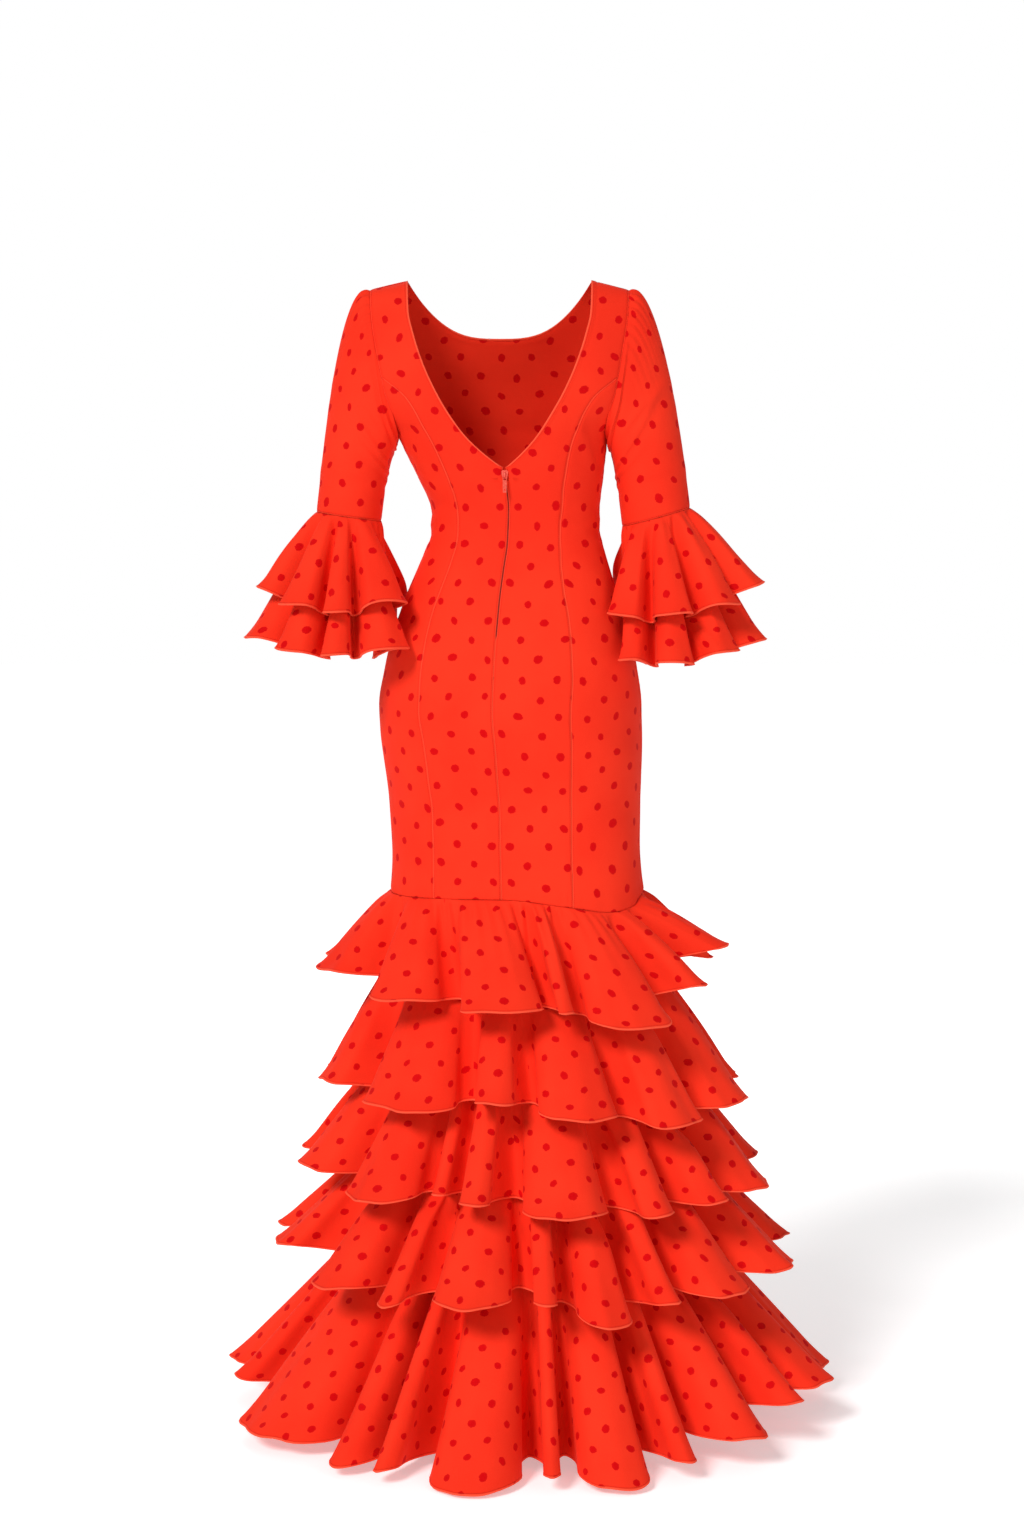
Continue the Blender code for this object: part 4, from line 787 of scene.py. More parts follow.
# ---------------------------------------------------------------- sleeves
def armhole_loop(side, count):
    """Points round an armhole's edge, and the body's outward directions there."""
    heights = np.linspace(0.0, 1.0, 301) ** 1.6 * UNDERARM_Z
    back = armhole_angle(heights, "back")
    front = armhole_angle(heights[-2::-1], "front")
    angle = np.concatenate([signed(side, back), -front if side > 0 else 180.0 + front])
    z = np.concatenate([heights, heights[-2::-1]])
    loop = np.concatenate([body_points(angle, z), body_out(angle, z)], axis=1)
    loop = np.concatenate([loop, loop[:1]])
    travelled = arc(loop[:, :3], 0)
    wanted = np.linspace(0.0, travelled[-1], count, endpoint=False)
    spaced = np.stack([np.interp(wanted, travelled, column) for column in loop.T], axis=1)
    return spaced[:, :3], unit(spaced[:, 3:])


def cuff_points(cuff, angle, inset=0.0, drop=0.0):
    """Points round the end of a sleeve, or round a smaller ring inside it."""
    outward = np.cos(np.radians(angle))
    x = cuff.x + cuff.side * (cuff.half_width - inset) * outward
    y = cuff.y + (cuff.half_depth - inset) * np.sin(np.radians(angle))
    return np.stack([x, y, cuff.z + cuff.outer_rise * outward - drop], axis=-1)


def arm_grain(points, low, cuff):
    """The sleeve's grain runs down the arm: round it from the outer line, and down from the head."""
    z = points[..., 2]
    top = int(np.argmax(points[0, :, 2]))
    heights = points[:, top, 2]
    peak = int(np.argmax(heights))
    order = np.argsort(heights[peak:])
    place = low[peak:, top]
    down = SLEEVE_LENGTH - np.interp(z, heights[peak:][order], place[order])
    radius = soft_table(ARM_RINGS, z, "radius")
    middle = soft_table(ARM_RINGS, z, "middle_x")
    turn = np.arctan2(points[..., 1] - cuff.y, cuff.side * points[..., 0] - middle)
    # The cut is under the arm, where the turn passes from 180 to -180 degrees.
    turn = np.unwrap(turn, axis=1)
    turn = turn - 2.0 * np.pi * np.round(turn[:, top : top + 1] / (2.0 * np.pi))
    return np.stack([turn * radius + 0.011 * cuff.side, down], axis=-1)


def sleeve_curve(cuff, columns):
    """A sleeve's plain surface from the armhole to the cuff, with its shares, heights and angles."""
    loop, out = armhole_loop(cuff.side, columns)
    # The sleeve's seam allowance lies just under the bodice, past the armhole's edge.
    along = unit(np.roll(loop, -1, axis=0) - np.roll(loop, 1, axis=0))
    beside = np.cross(out, along)
    beside *= np.sign((beside * (loop - loop.mean(axis=0))).sum(axis=1, keepdims=True))
    loop = loop - out * TUCK_DEPTH + beside * TUCK_PAST
    height = ((loop[:, 2] - loop[:, 2].min()) / (loop[:, 2].max() - loop[:, 2].min()))[None, :]
    share = np.concatenate([[0.0, 0.004, 0.010, 0.018], np.linspace(0.03, 0.985, 78), [0.992, 1.0]])
    s = share[:, None, None]
    around = 360.0 * np.arange(columns) / columns
    leave = np.zeros((1, columns, 3))
    leave[..., 0] = cuff.side * HEAD_OUT * (0.10 + 0.90 * height**1.3)
    leave[..., 2] = HEAD_UP * height - 0.10 * (1.0 - height)
    arrive = np.array((cuff.side * 0.030, 0.0, -SLEEVE_FALL))
    s2 = s * s
    s3 = s2 * s
    points = (
        loop[None] * (2 * s3 - 3 * s2 + 1)
        + leave * (s3 - 2 * s2 + s)
        + cuff_points(cuff, around)[None] * (3 * s2 - 2 * s3)
        + arrive * (s3 - s2)
    )
    points = np.roll(points, columns // 2, axis=1)
    height = np.roll(height, columns // 2, axis=1)
    around = np.roll(around, columns // 2)
    if cuff.side < 0:
        return points[:, ::-1], share, height[:, ::-1], around[::-1]
    return points, share, height, around


def make_sleeve(label):
    cuff = CUFFS[label]
    points, share, height, around = sleeve_curve(cuff, SLEEVE_COLUMNS)
    inward = grid_inward(points)
    down = arc(points, 0)
    low = down[-1:] - down
    across = arc(closed(points), 1)
    grain = arm_grain(closed(points), closed(low), cuff)
    # Gathers at the head of the sleeve, soft and uneven, dying away down the arm.
    head = np.clip((height - 0.42) / 0.4, 0.0, 1.0)
    place = across[:1, :-1]
    phase = place * 2.0 * np.pi / SLEEVE_GATHER + 1.4 * np.sin(place * 61.0) + cuff.side
    fade = np.clip(down / 0.006, 0.0, 1.0) * np.exp(-down / 0.030)
    lift = 0.0023 * head * np.sin(phase) * fade
    lift = lift + 0.0035 * head * np.clip(down / 0.012, 0.0, 1.0) * np.exp(-down / 0.05)
    for row in SLEEVE_CREASES:
        x = np.radians((around[None, :] - row.around + 180.0) % 360.0 - 180.0) * 0.050
        y = (share[:, None] - row.share) * 0.30
        lift = lift + crease(x, y, row.slant, row.long, row.wide, row.high, 0.6, 1.8)
    # The armhole's and the cuff's seams draw the cloth in, and so does the seam under the arm.
    lift = lift * np.clip(low / 0.004, 0.15, 1.0) - 0.0004 * bump(down, 0.0, 0.003)
    lift = lift - 0.0006 * bump(low, 0.0, 0.0025)
    under = np.minimum(across[:, :-1], across[:, -1:] - across[:, :-1])
    lift = lift - 0.0008 * bump(under, 0.0, 0.0025)
    points = points - inward * lift[..., None]
    far = np.minimum(closed(down), closed(low)) + SEAM_SHIFT
    edge = np.stack([far, across], axis=-1)
    thing = shell("sleeve_" + label, points, inward, WALL, grain, around=True, edge=edge)
    finish_piece(thing, "sleeve_" + label, cloth)


# ---------------------------------------------------------------- flounces
def hem_controls(shape, folds, openness, lower):
    """The hem as rows of seam angle, hem angle, scale, height and nearness to the crest."""
    rows = []
    crests = []
    count = len(folds)
    size = (abs(shape.hem_a) + shape.hem_back + shape.hem_front) / 3
    least = math.degrees(LEAST_OPENING / size)
    for number, fold in enumerate(folds):
        earlier = folds[number - 1]
        later = folds[(number + 1) % count]
        round_before = 360.0 if number == 0 else 0.0
        round_after = 360.0 if number == count - 1 else 0.0
        start = earlier.edge - round_before
        before = fold.angle - start
        after = fold.edge - fold.angle
        before_last = start - (earlier.angle - round_before)
        after_next = later.angle + round_after - fold.edge
        shift_before = earlier.after * before_last - fold.before * before
        shift_after = fold.after * after - later.before * after_next
        # Each half fold: its size, its direction, its valley's angle and fold, its neighbour.
        halves = (
            (before, -1.0, start, earlier, earlier, shift_before),
            (after, 1.0, fold.edge, fold, later, shift_after),
        )
        for half, sign, edge, valley, neighbour, shift in halves:
            near = (fold.hem_z + neighbour.hem_z) / 2
            shift = float(np.clip(shift, -MOST_SHIFT * half, MOST_SHIFT * half)) * 0.8
            opening = max(OPENING * openness * half, least)
            narrower = min(1.0, (1.0 - opening / half) / 0.76)
            depth = valley.hollow - DEEPER * openness

            def row(seam, hem, share):
                scale = depth + (fold.reach - depth) * share
                # The cloth of a hollow hangs nearer the body, so it reaches lower.
                height = near + (fold.hem_z - near) * share - lower * (1.0 - share)
                return (seam, hem, scale, height, share)

            steps = []
            for seam_share, hem_share, share in CREST_STEPS:
                hem_share *= narrower
                hem = fold.angle + sign * half * hem_share + shift * 0.5 * hem_share
                steps.append(row(fold.angle + sign * half * seam_share, hem, share))
            wall = [
                row(edge - sign * half * 0.36, edge - sign * opening + shift, 0.55),
                row(edge - sign * half * 0.17, edge - sign * opening * 0.9 + shift * 0.35, 0.19),
            ]
            if sign < 0:
                rows += [row(edge, edge - 0.35 * shift, 0.0)] + wall[::-1] + steps
                crests.append(len(rows))
                rows.append((fold.angle, fold.angle, fold.reach, fold.hem_z, 1.0))
            else:
                rows += steps[::-1] + wall
    return np.array(rows), crests


def round_curve(values, turning):
    """A closed Catmull-Rom curve through the rows; the turning column gains 360 each time round."""
    count = len(values)
    index = np.arange(-1, count + 2)
    around = values[index % count].copy()
    around[:, turning] += 360.0 * np.floor_divide(index, count)
    gaps = np.linalg.norm(np.diff(around[:, :3], axis=0), axis=1) ** 0.5
    knots = np.concatenate([[0.0], np.cumsum(np.maximum(gaps, 1e-4))])
    rows = []
    for i in range(count):
        t0, t1, t2, t3 = knots[i : i + 4]
        p0, p1, p2, p3 = around[i : i + 4]
        for step in range(HEM_SAMPLES):
            t = t1 + (t2 - t1) * step / HEM_SAMPLES
            a1 = (t1 - t) / (t1 - t0) * p0 + (t - t0) / (t1 - t0) * p1
            a2 = (t2 - t) / (t2 - t1) * p1 + (t - t1) / (t2 - t1) * p2
            a3 = (t3 - t) / (t3 - t2) * p2 + (t - t2) / (t3 - t2) * p3
            b1 = (t2 - t) / (t2 - t0) * a1 + (t - t0) / (t2 - t0) * a2
            b2 = (t3 - t) / (t3 - t1) * a2 + (t - t1) / (t3 - t1) * a3
            rows.append((t2 - t) / (t2 - t1) * b1 + (t - t1) / (t2 - t1) * b2)
    return np.array(rows)


def ellipse_points(shape, angle, scale, at_hem):
    cosine = np.cos(np.radians(angle))
    sine = np.sin(np.radians(angle))
    if at_hem:
        depth = np.where(sine > 0, shape.hem_back, shape.hem_front)
        return shape.hem_x + shape.hem_a * scale * cosine, shape.hem_y + depth * scale * sine
    depth = np.where(sine > 0, shape.seam_back, shape.seam_front)
    return shape.seam_x + shape.seam_a * cosine, shape.seam_y + depth * sine


def flounce_surface(shape, folds, seam, rows, look):
    """A flounce's outside, its crest columns and its folds' first columns."""
    seed = look.seed
    controls, crests = hem_controls(shape, folds, look.openness, look.lower)
    x, y = ellipse_points(shape, controls[:, 1], controls[:, 2], True)
    hem = round_curve(np.stack([x, y, controls[:, 3], controls[:, 0], controls[:, 4]], axis=1), 3)
    w = np.clip(hem[:, 4], 0.0, 1.0)[None, :]
    top = seam(hem[:, 3])
    bottom = hem[:, :3]
    # An uneven hem.
    size = (abs(shape.hem_a) + shape.hem_back) / 2
    turns = np.radians(hem[:, 3])
    wander = np.sin(turns * round(55.0 * size) + seed)
    wander = wander + 0.6 * np.sin(turns * round(130.0 * size) + 2.0 * seed)
    bottom[:, 2] += 0.0014 * wander
    r = rows[:, None]
    out = r ** (1.0 + 0.22 * (1.0 - w) - look.bulge * w)
    points = np.empty((len(rows), len(hem), 3))
    points[..., :2] = top[None, :, :2] + (bottom - top)[None, :, :2] * out[..., None]
    points[..., 2] = top[None, :, 2] + (bottom - top)[None, :, 2] * r
    outward = unit(bottom[:, :2] - np.array((shape.hem_x, shape.hem_y)))[None]
    fall = r * (top[:, 2] - bottom[:, 2])[None, :]
    place = arc(np.concatenate([top, top[:1]]), 0)[:-1]
    # Gathers under the seam: small flutes that open out and die away down the cloth.
    phase = place * 2.0 * np.pi / FLOUNCE_GATHER
    phase = phase + 1.5 * np.sin(place * 37.0 + seed) + 0.9 * np.sin(place * 91.0)
    fade = np.clip(fall / 0.010, 0.0, 1.0) * np.exp(-((fall / 0.046) ** 1.3))
    strength = 0.65 + 0.35 * np.sin(place * 23.0 + 2.0 * seed)
    move = look.gather * strength[None, :] * np.sin(phase)[None, :] * fade
    # Longer, softer flutes over the crests, and a slow unevenness.
    flutes = np.sin(turns * round(115.0 * size) + 1.3 * seed + 0.8 * np.sin(turns * 7.0 + seed))
    flutes = flutes + 0.6 * np.sin(turns * round(190.0 * size) + 2.1 * seed)
    move = move + 0.0021 * flutes[None, :] * w * r**1.4
    sway = np.sin(r * 5.0 + np.sin(turns * 5.0)[None, :] * 2.0)
    move = move + 0.0016 * np.sin(turns * 11.0 + seed)[None, :] * sway * np.sin(np.pi * r)
    # The hem of each crest kicks out.
    move = move + 0.0045 * np.clip((r - 0.84) / 0.16, 0.0, 1.0) ** 2 * w
    points[..., :2] += outward * move[..., None]
    starts = [number * (len(CREST_STEPS) * 2 + 6) * HEM_SAMPLES for number in range(len(folds))]
    return points, [c * HEM_SAMPLES for c in crests], starts


def drawn_in(points, tree, centre, clearance):
    """How far each point has to come in to stay inside the piece that hangs over it."""
    rows, columns = points.shape[:2]
    short = np.zeros((rows, columns))
    middle = Vector((*centre, 0.0))
    for i in range(rows):
        for j in range(columns):
            point = Vector(points[i, j])
            middle.z = point.z
            out = point - middle
            size = out.length
            out /= size
            hit = tree.ray_cast(middle, out, size + clearance)
            if hit[0] is not None:
                short[i, j] = max(0.0, size + clearance - hit[3])
    return short


def next_rows(field):
    return np.concatenate([field[1:], field[-1:]]), np.concatenate([field[:1], field[:-1]])


def next_columns(field):
    return np.roll(field, 1, axis=1), np.roll(field, -1, axis=1)


def widened(short, rows, columns, times):
    """The same field, spread to its neighbours and smoothed."""
    for _ in range(rows):
        short = np.maximum(short, np.maximum(*next_rows(short)) * 0.85)
    for _ in range(columns):
        short = np.maximum(short, np.maximum(*next_columns(short)) * 0.97)
    for _ in range(times):
        for neighbours in (next_rows, next_columns):
            before, after = neighbours(short)
            short = (2 * short + before + after) / 4
    return short


def tuck_under(points, above, centre, clearance, spread):
    """Draws a flounce in, in two passes, where it would come through the one over it."""
    for _ in range(2):
        short = widened(drawn_in(points, above, centre, clearance), *spread)
        short[0] = 0.0
        inward = unit(np.array(centre) - points[..., :2])
        points[..., :2] += inward * short[..., None]


def surface_tree(points):
    rows, columns = points.shape[:2]
    i, j = (part.ravel() for part in np.meshgrid(np.arange(rows - 1), np.arange(columns), indexing="ij"))
    k = (j + 1) % columns
    faces = np.stack([i * columns + j, (i + 1) * columns + j, (i + 1) * columns + k, i * columns + k], axis=1)
    return BVHTree.FromPolygons(points.reshape(-1, 3).tolist(), faces.tolist())


def square_arc(points):
    """How far round each point is, counting only steps square to the columns."""
    ring = closed(points)
    steps = np.diff(ring, axis=1)
    along = unit(np.gradient(ring, axis=0))
    along = unit(along[:, 1:] + along[:, :-1])
    steps = steps - (steps * along).sum(axis=-1, keepdims=True) * along
    sizes = np.linalg.norm(steps, axis=-1)
    return np.concatenate([np.zeros((len(points), 1)), np.cumsum(sizes, axis=1)], axis=1)


def lobe_grain(points, crests, starts, seed):
    """Each fold's own grain: across from its crest and down from the seam, cut at the hollows."""
    rows, columns = points.shape[:2]
    across = square_arc(points)
    down = closed(arc(points, 0))
    left = np.zeros((rows, columns, 2))
    right = np.zeros((rows, columns, 2))
    ends = starts[1:] + [columns]
    for number, (start, end, crest_column) in enumerate(zip(starts, ends, crests)):
        u = across - across[:, crest_column : crest_column + 1]
        # The dots sit where the cloth happened to be cut for this fold.
        u = u + 0.0235 * round(wave(seed + number * 1.7)) + 0.010 * wave(seed * 3.1 + number)
        v = down + 0.024 * wave(seed * 1.9 + number * 2.3)
        both = np.stack([u, v], axis=-1)
        left[:, start:end] = both[:, start:end]
        right[:, start:end] = both[:, start + 1 : end + 1]
    return left, right


def add_flounce(name, points, crests, starts, seed, flip=False):
    down = arc(points, 0)
    low = down[-1:] - down
    # A narrow rolled hem, thicker than the cloth.
    roll = np.sqrt(np.clip(1.0 - low / HEM_ROLL, 0.0, 1.0))
    wall = FLOUNCE_WALL + ROLL_INSIDE * roll
    inward = -grid_inward(points) if flip else grid_inward(points)
    outer = points - inward * (ROLL_OUTSIDE * roll)[..., None]
    grain = lobe_grain(points, crests, starts, seed)
    ring = closed(points)
    edge = np.stack([closed(low), arc(ring, 1)], axis=-1)
    if flip:
        outer, inward, wall, edge = (part[:, ::-1] for part in (outer, inward, wall, edge))
        grain = tuple(np.roll(part[:, ::-1], -1, axis=1) for part in grain[::-1])
    thing = shell(name, outer, inward, wall, grain, around=True, edge=edge)
    finish_piece(thing, name, cloth)


def fall_rows(count, length):
    """Rows down a flounce, close together at the seam and at the rolled hem."""
    ends = np.array([0.0030, 0.0022, 0.0012, 0.0004, 0.0]) / length
    start = np.array([0.0, 0.0016, 0.004, 0.0075, 0.0115, 0.016, 0.021]) / length
    middle = np.linspace(0.027 / length, 1.0 - 0.0045 / length, count)
    return np.concatenate([start, middle, 1.0 - ends])


def knee_seam_points(angle, inset=0.0):
    """Points round the seam at the knee, or round a smaller ring inside it."""
    points = body_points(angle, SKIRT_SEAM_Z)
    points[..., 2] -= KNEE_SEAM_DROP
    if inset:
        middle = points.copy()
        middle[..., 0] = soft_table(BODY, SKIRT_SEAM_Z, "centre_x")
        middle[..., 1] = 0.0
        points = points + unit(middle - points) * inset
    return points


def ellipse_seam(shape, angle):
    x, y = ellipse_points(shape, angle, 1.0, False)
    return np.stack([x, y, np.full_like(x, shape.seam_z)], axis=-1)


def make_skirt():
    above = None
    for number, (shape, folds, look) in enumerate(zip(TIERS, TIER_FOLDS, TIER_LOOK), start=1):
        rows = fall_rows(20 if number < 5 else 26, shape.seam_z - folds[0].hem_z + 0.03)
        seam = knee_seam_points if number == 1 else partial(ellipse_seam, shape)
        points, crests, starts = flounce_surface(shape, folds, seam, rows, look)
        if above is not None:
            tuck_under(points, above, (shape.seam_x, shape.seam_y), TIER_CLEAR, (3, 4, 5))
        add_flounce(f"skirt_flounce_{number}", points, crests, starts, look.seed)
        above = surface_tree(points + grid_inward(points) * TIER_DEPTH)


def make_underskirt():
    top_z = SKIRT_SEAM_Z - 0.0020
    z = np.linspace(UNDERSKIRT[-1].z, top_z, 26)[::-1]
    angle = np.linspace(0.0, 360.0, 96, endpoint=False)
    sine = np.sin(np.radians(angle))[None, :]
    cosine = np.cos(np.radians(angle))[None, :]
    top = knee_seam_points(angle, 0.0030)[None]
    part = {key: soft_table(UNDERSKIRT, z, key)[:, None] for key in Hoop._fields[1:]}
    x = part["middle_x"] + part["half_width"] * cosine
    y = np.where(sine > 0, part["back"], part["front"]) * sine
    points = np.stack([x, y, np.broadcast_to(z[:, None], x.shape)], axis=-1)
    # Near the knee the tube takes the body's form.
    near = smooth_step(UNDERSKIRT[1].z, top_z, z)[:, None, None]
    points[..., :2] = points[..., :2] * (1.0 - near) + top[..., :2] * near
    points[..., 2] += (top[..., 2] - (SKIRT_SEAM_Z - KNEE_SEAM_DROP)) * near[..., 0]
    ripple = 0.0012 * np.sin(np.radians(angle) * 23.0)[None, :] * smooth_step(-0.80, -0.90, z)[:, None]
    inward = grid_inward(points)
    points = points + inward * (0.0010 + ripple)[..., None]
    ring = closed(points)
    down = arc(points, 0)
    grain = np.stack([arc(ring, 1), closed(down)], axis=-1)
    thing = shell("underskirt", points, inward, UNDERSKIRT_WALL, grain, around=True)
    finish_piece(thing, "underskirt", lining)


def clear_of_hip(points, side, clearance):
    """The same grid, with what would come too near the hip laid along it instead."""
    z = points[..., 2]
    part = {name: soft_table(BODY, z, name) for name in Section._fields[1:]}
    turn = np.radians(part["turn"])
    x = points[..., 0] - part["centre_x"]
    local_x = x * np.cos(turn) - points[..., 1] * np.sin(turn)
    local_y = x * np.sin(turn) + points[..., 1] * np.cos(turn)
    depth = np.where(local_y > 0, part["back"], part["front"])
    share = np.minimum(1.0, np.abs(local_y) / (depth + clearance)) ** part["square"]
    hip_x = part["half_width"] * (1.0 - share) ** (1.0 / part["square"])
    short = hip_x + clearance - side * local_x
    push = 0.005 * np.logaddexp(0.0, short / 0.005)
    moved = points.copy()
    moved[..., 0] += side * push * np.cos(turn)
    moved[..., 1] -= side * push * np.sin(turn)
    return moved


def make_wrists():
    number = FIRST_WRIST
    for label, cuff in CUFFS.items():
        above = None
        for layer in ("upper", "lower"):
            plan = WRIST_PLANS[layer]
            key = f"{layer}_{label}"
            shape = WRIST_FLOUNCES[key]
            if cuff.side < 0:
                shape = shape._replace(seam_a=-shape.seam_a, hem_a=-shape.hem_a)
            look = Look(11.0 + 2.3 * number, WRIST_OPENNESS, plan.bulge, plan.gather, WRIST_LOWER)
            seam = partial(cuff_points, cuff, inset=plan.inset, drop=0.0004)
            rows = fall_rows(plan.rows, plan.length)
            points, crests, starts = flounce_surface(shape, WRIST_FOLDS[key], seam, rows, look)
            points[1:] = clear_of_hip(points[1:], cuff.side, plan.clearance)
            if above is not None:
                tuck_under(points, above, (shape.seam_x, shape.seam_y), WRIST_CLEAR, (2, 3, 4))
            add_flounce(f"sleeve_flounce_{key}", points, crests, starts, look.seed, flip=cuff.side < 0)
            above = surface_tree(points + grid_inward(points) * WRIST_DEPTH * cuff.side)
            number += 1


# ---------------------------------------------------------------- the zip
def make_tapes():
    rows = np.linspace(TAPE_END_Z, V_POINT_Z - 0.0008, 60)
    for label, side in (("left", 1), ("right", -1)):
        edge = np.where(rows > SLIDER_END_Z - 0.004, 0.0016, 0.0006)
        share = np.linspace(0.0, 1.0, 7)[None, :]
        across = edge[:, None] + (TAPE_WIDTH - edge[:, None]) * share
        z = np.broadcast_to(rows[:, None], across.shape)
        angle = signed(side, angle_at(z, across))
        out = body_out(angle, z)
        points = body_points(angle, z) - out * TAPE_DEPTH
        grain = np.stack([across, -z], axis=-1)
        points, out, grain = (part[::-1, ::-1] for part in (points, out, grain))
        name = "zip_tape_" + label
        thing = shell(name, points, -out, TAPE_WALL, grain)
        finish_piece(thing, name, tape)


def make_coil():
    """The closed chain of the zip, a row of small meshed loops seen through the slit."""
    place = []
    for i in range(COIL_STEPS + 1):
        z = COIL_TOP_Z - (COIL_TOP_Z - COIL_END_Z) * i / COIL_STEPS
        point = body_points(90.0, z) - body_out(np.array(90.0), np.array(z)) * COIL_DEPTH
        side = body_points(91.0, z) - body_points(89.0, z)
        side = side / np.linalg.norm(side)
        place.append(point + side * (COIL_SWAY if i % 2 else -COIL_SWAY))
    curve = bpy.data.curves.new("zip_coil", "CURVE")
    curve.dimensions = "3D"
    curve.bevel_depth = COIL_RADIUS
    curve.bevel_resolution = 2
    curve.use_fill_caps = True
    line = curve.splines.new("POLY")
    line.points.add(len(place) - 1)
    for point, where in zip(line.points, place):
        point.co = (*where, 1.0)
    thing = placed("zip_coil", curve)
    thing.data.materials.append(teeth)
    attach(thing, "dress")


def softened(node, body):
    """A finer copy of a metal node, its edges rounded."""
    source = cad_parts[node]
    thing = source.copy()
    thing.data = source.data.copy()
    thing.name = node + "_fine"
    thing.parent = None
    thing.matrix_world = source.matrix_world
    bpy.context.scene.collection.objects.link(thing)
    shape = bmesh.new()
    shape.from_mesh(thing.data)
    bmesh.ops.remove_doubles(shape, verts=shape.verts, dist=0.00002)
    bmesh.ops.dissolve_limit(shape, angle_limit=0.05, verts=shape.verts, edges=shape.edges)
    shape.to_mesh(thing.data)
    shape.free()
    thing.data.materials.clear()
    thing.data.materials.append(metal)
    edge = thing.modifiers.new("edges", "BEVEL")
    edge.width = METAL_ROUNDING
    edge.segments = 3
    edge.limit_method = "ANGLE"
    edge.angle_limit = 0.6
    thing.data.polygons.foreach_set("use_smooth", np.ones(len(thing.data.polygons), bool))
    thing.data.set_sharp_from_angle(angle=0.7)
    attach(thing, body)
    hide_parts(node)


# ---------------------------------------------------------------- materials
def feed(tree, socket, value):
    """Gives a socket a link, a colour, or a plain value."""
    if isinstance(value, bpy.types.NodeSocket):
        tree.links.new(value, socket)
    elif socket.type == "RGBA":
        socket.default_value = (*value, 1.0)
    else:
        socket.default_value = value


def new_node(tree, kind, inputs=(), **settings):
    """A shader node with its settings and with its inputs, by name or in order."""
    node = tree.nodes.new("ShaderNode" + kind)
    for name, value in settings.items():
        setattr(node, name, value)
    named_inputs = inputs.items() if isinstance(inputs, dict) else enumerate(inputs)
    for key, value in named_inputs:
        feed(tree, node.inputs[key], value)
    return node


def new_material(name, values):
    """A material, its nodes and its shader, whose plain values are set on its own sockets."""
    material = bpy.data.materials.new(name)
    material.use_nodes = True
    tree = material.node_tree
    shader = tree.nodes["Principled BSDF"]
    for key, value in values.items():
        feed(tree, shader.inputs[key], value)
    return material, tree, shader


def math_node(tree, operation, *values):
    return new_node(tree, "Math", values, operation=operation).outputs[0]


def vector_node(tree, operation, *values):
    node = new_node(tree, "VectorMath", values, operation=operation)
    return node.outputs["Value"] if operation == "LENGTH" else node.outputs["Vector"]


def noise(tree, place, scale, detail=3.0, rough=0.5, output="Fac"):
    inputs = {"Scale": scale, "Detail": detail, "Roughness": rough, "Vector": place}
    return new_node(tree, "TexNoise", inputs).outputs[output]


def mix_colour(tree, factor, a, b):
    node = tree.nodes.new("ShaderNodeMix")
    node.data_type = "RGBA"
    for socket, value in zip([s for s in node.inputs if s.enabled], (factor, a, b)):
        feed(tree, socket, value)
    return [s for s in node.outputs if s.enabled][0]


def ramp(tree, factor, low, high, low_value, high_value):
    inputs = {"Value": factor, "From Min": low, "From Max": high, "To Min": low_value, "To Max": high_value}
    return new_node(tree, "MapRange", inputs, interpolation_type="SMOOTHSTEP").outputs["Result"]


def bump_node(tree, height, strength, distance):
    return new_node(tree, "Bump", {"Strength": strength, "Distance": distance, "Height": height})


def object_place(tree):
    return tree.nodes.new("ShaderNodeTexCoord").outputs["Object"]


def weave(tree, grain, place, shader, strength, threads):
    """A fine crepe weave with a slight slub, as bump, and the shader's roughness."""
    turned = new_node(tree, "Mapping", {"Rotation": (0.0, 0.0, math.radians(38.0)), "Vector": grain})
    inputs = {"Scale": threads, "Distortion": 1.4, "Detail": 1.0, "Vector": turned.outputs[0]}
    rib = new_node(tree, "TexWave", inputs, bands_direction="X").outputs["Fac"]
    pebble = noise(tree, grain, 900.0, 2.0, 0.6)
    slub = noise(tree, vector_node(tree, "MULTIPLY", grain, (60.0, 9.0, 1.0)), 6.0, 2.0)
    height = math_node(tree, "MULTIPLY", rib, 0.35)
    height = math_node(tree, "ADD", height, math_node(tree, "MULTIPLY", pebble, 0.65))
    height = math_node(tree, "ADD", height, math_node(tree, "MULTIPLY", slub, 0.5))
    fine = bump_node(tree, height, strength, 0.00025)
    soft = bump_node(tree, noise(tree, place, 26.0, 3.0, 0.45), 0.30, 0.0030)
    feed(tree, fine.inputs["Normal"], soft.outputs[0])
    feed(tree, shader.inputs["Normal"], fine.outputs[0])
    feed(tree, shader.inputs["Roughness"], ramp(tree, pebble, 0.2, 0.8, 0.72, 0.90))
    return soft


def uneven(tree, grain, scale, detail, size):
    """A slight random shift of the grain."""
    colour = noise(tree, grain, scale, detail, output="Color")
    return vector_node(tree, "MULTIPLY", vector_node(tree, "SUBTRACT", colour, (0.5, 0.5, 0.5)), size)


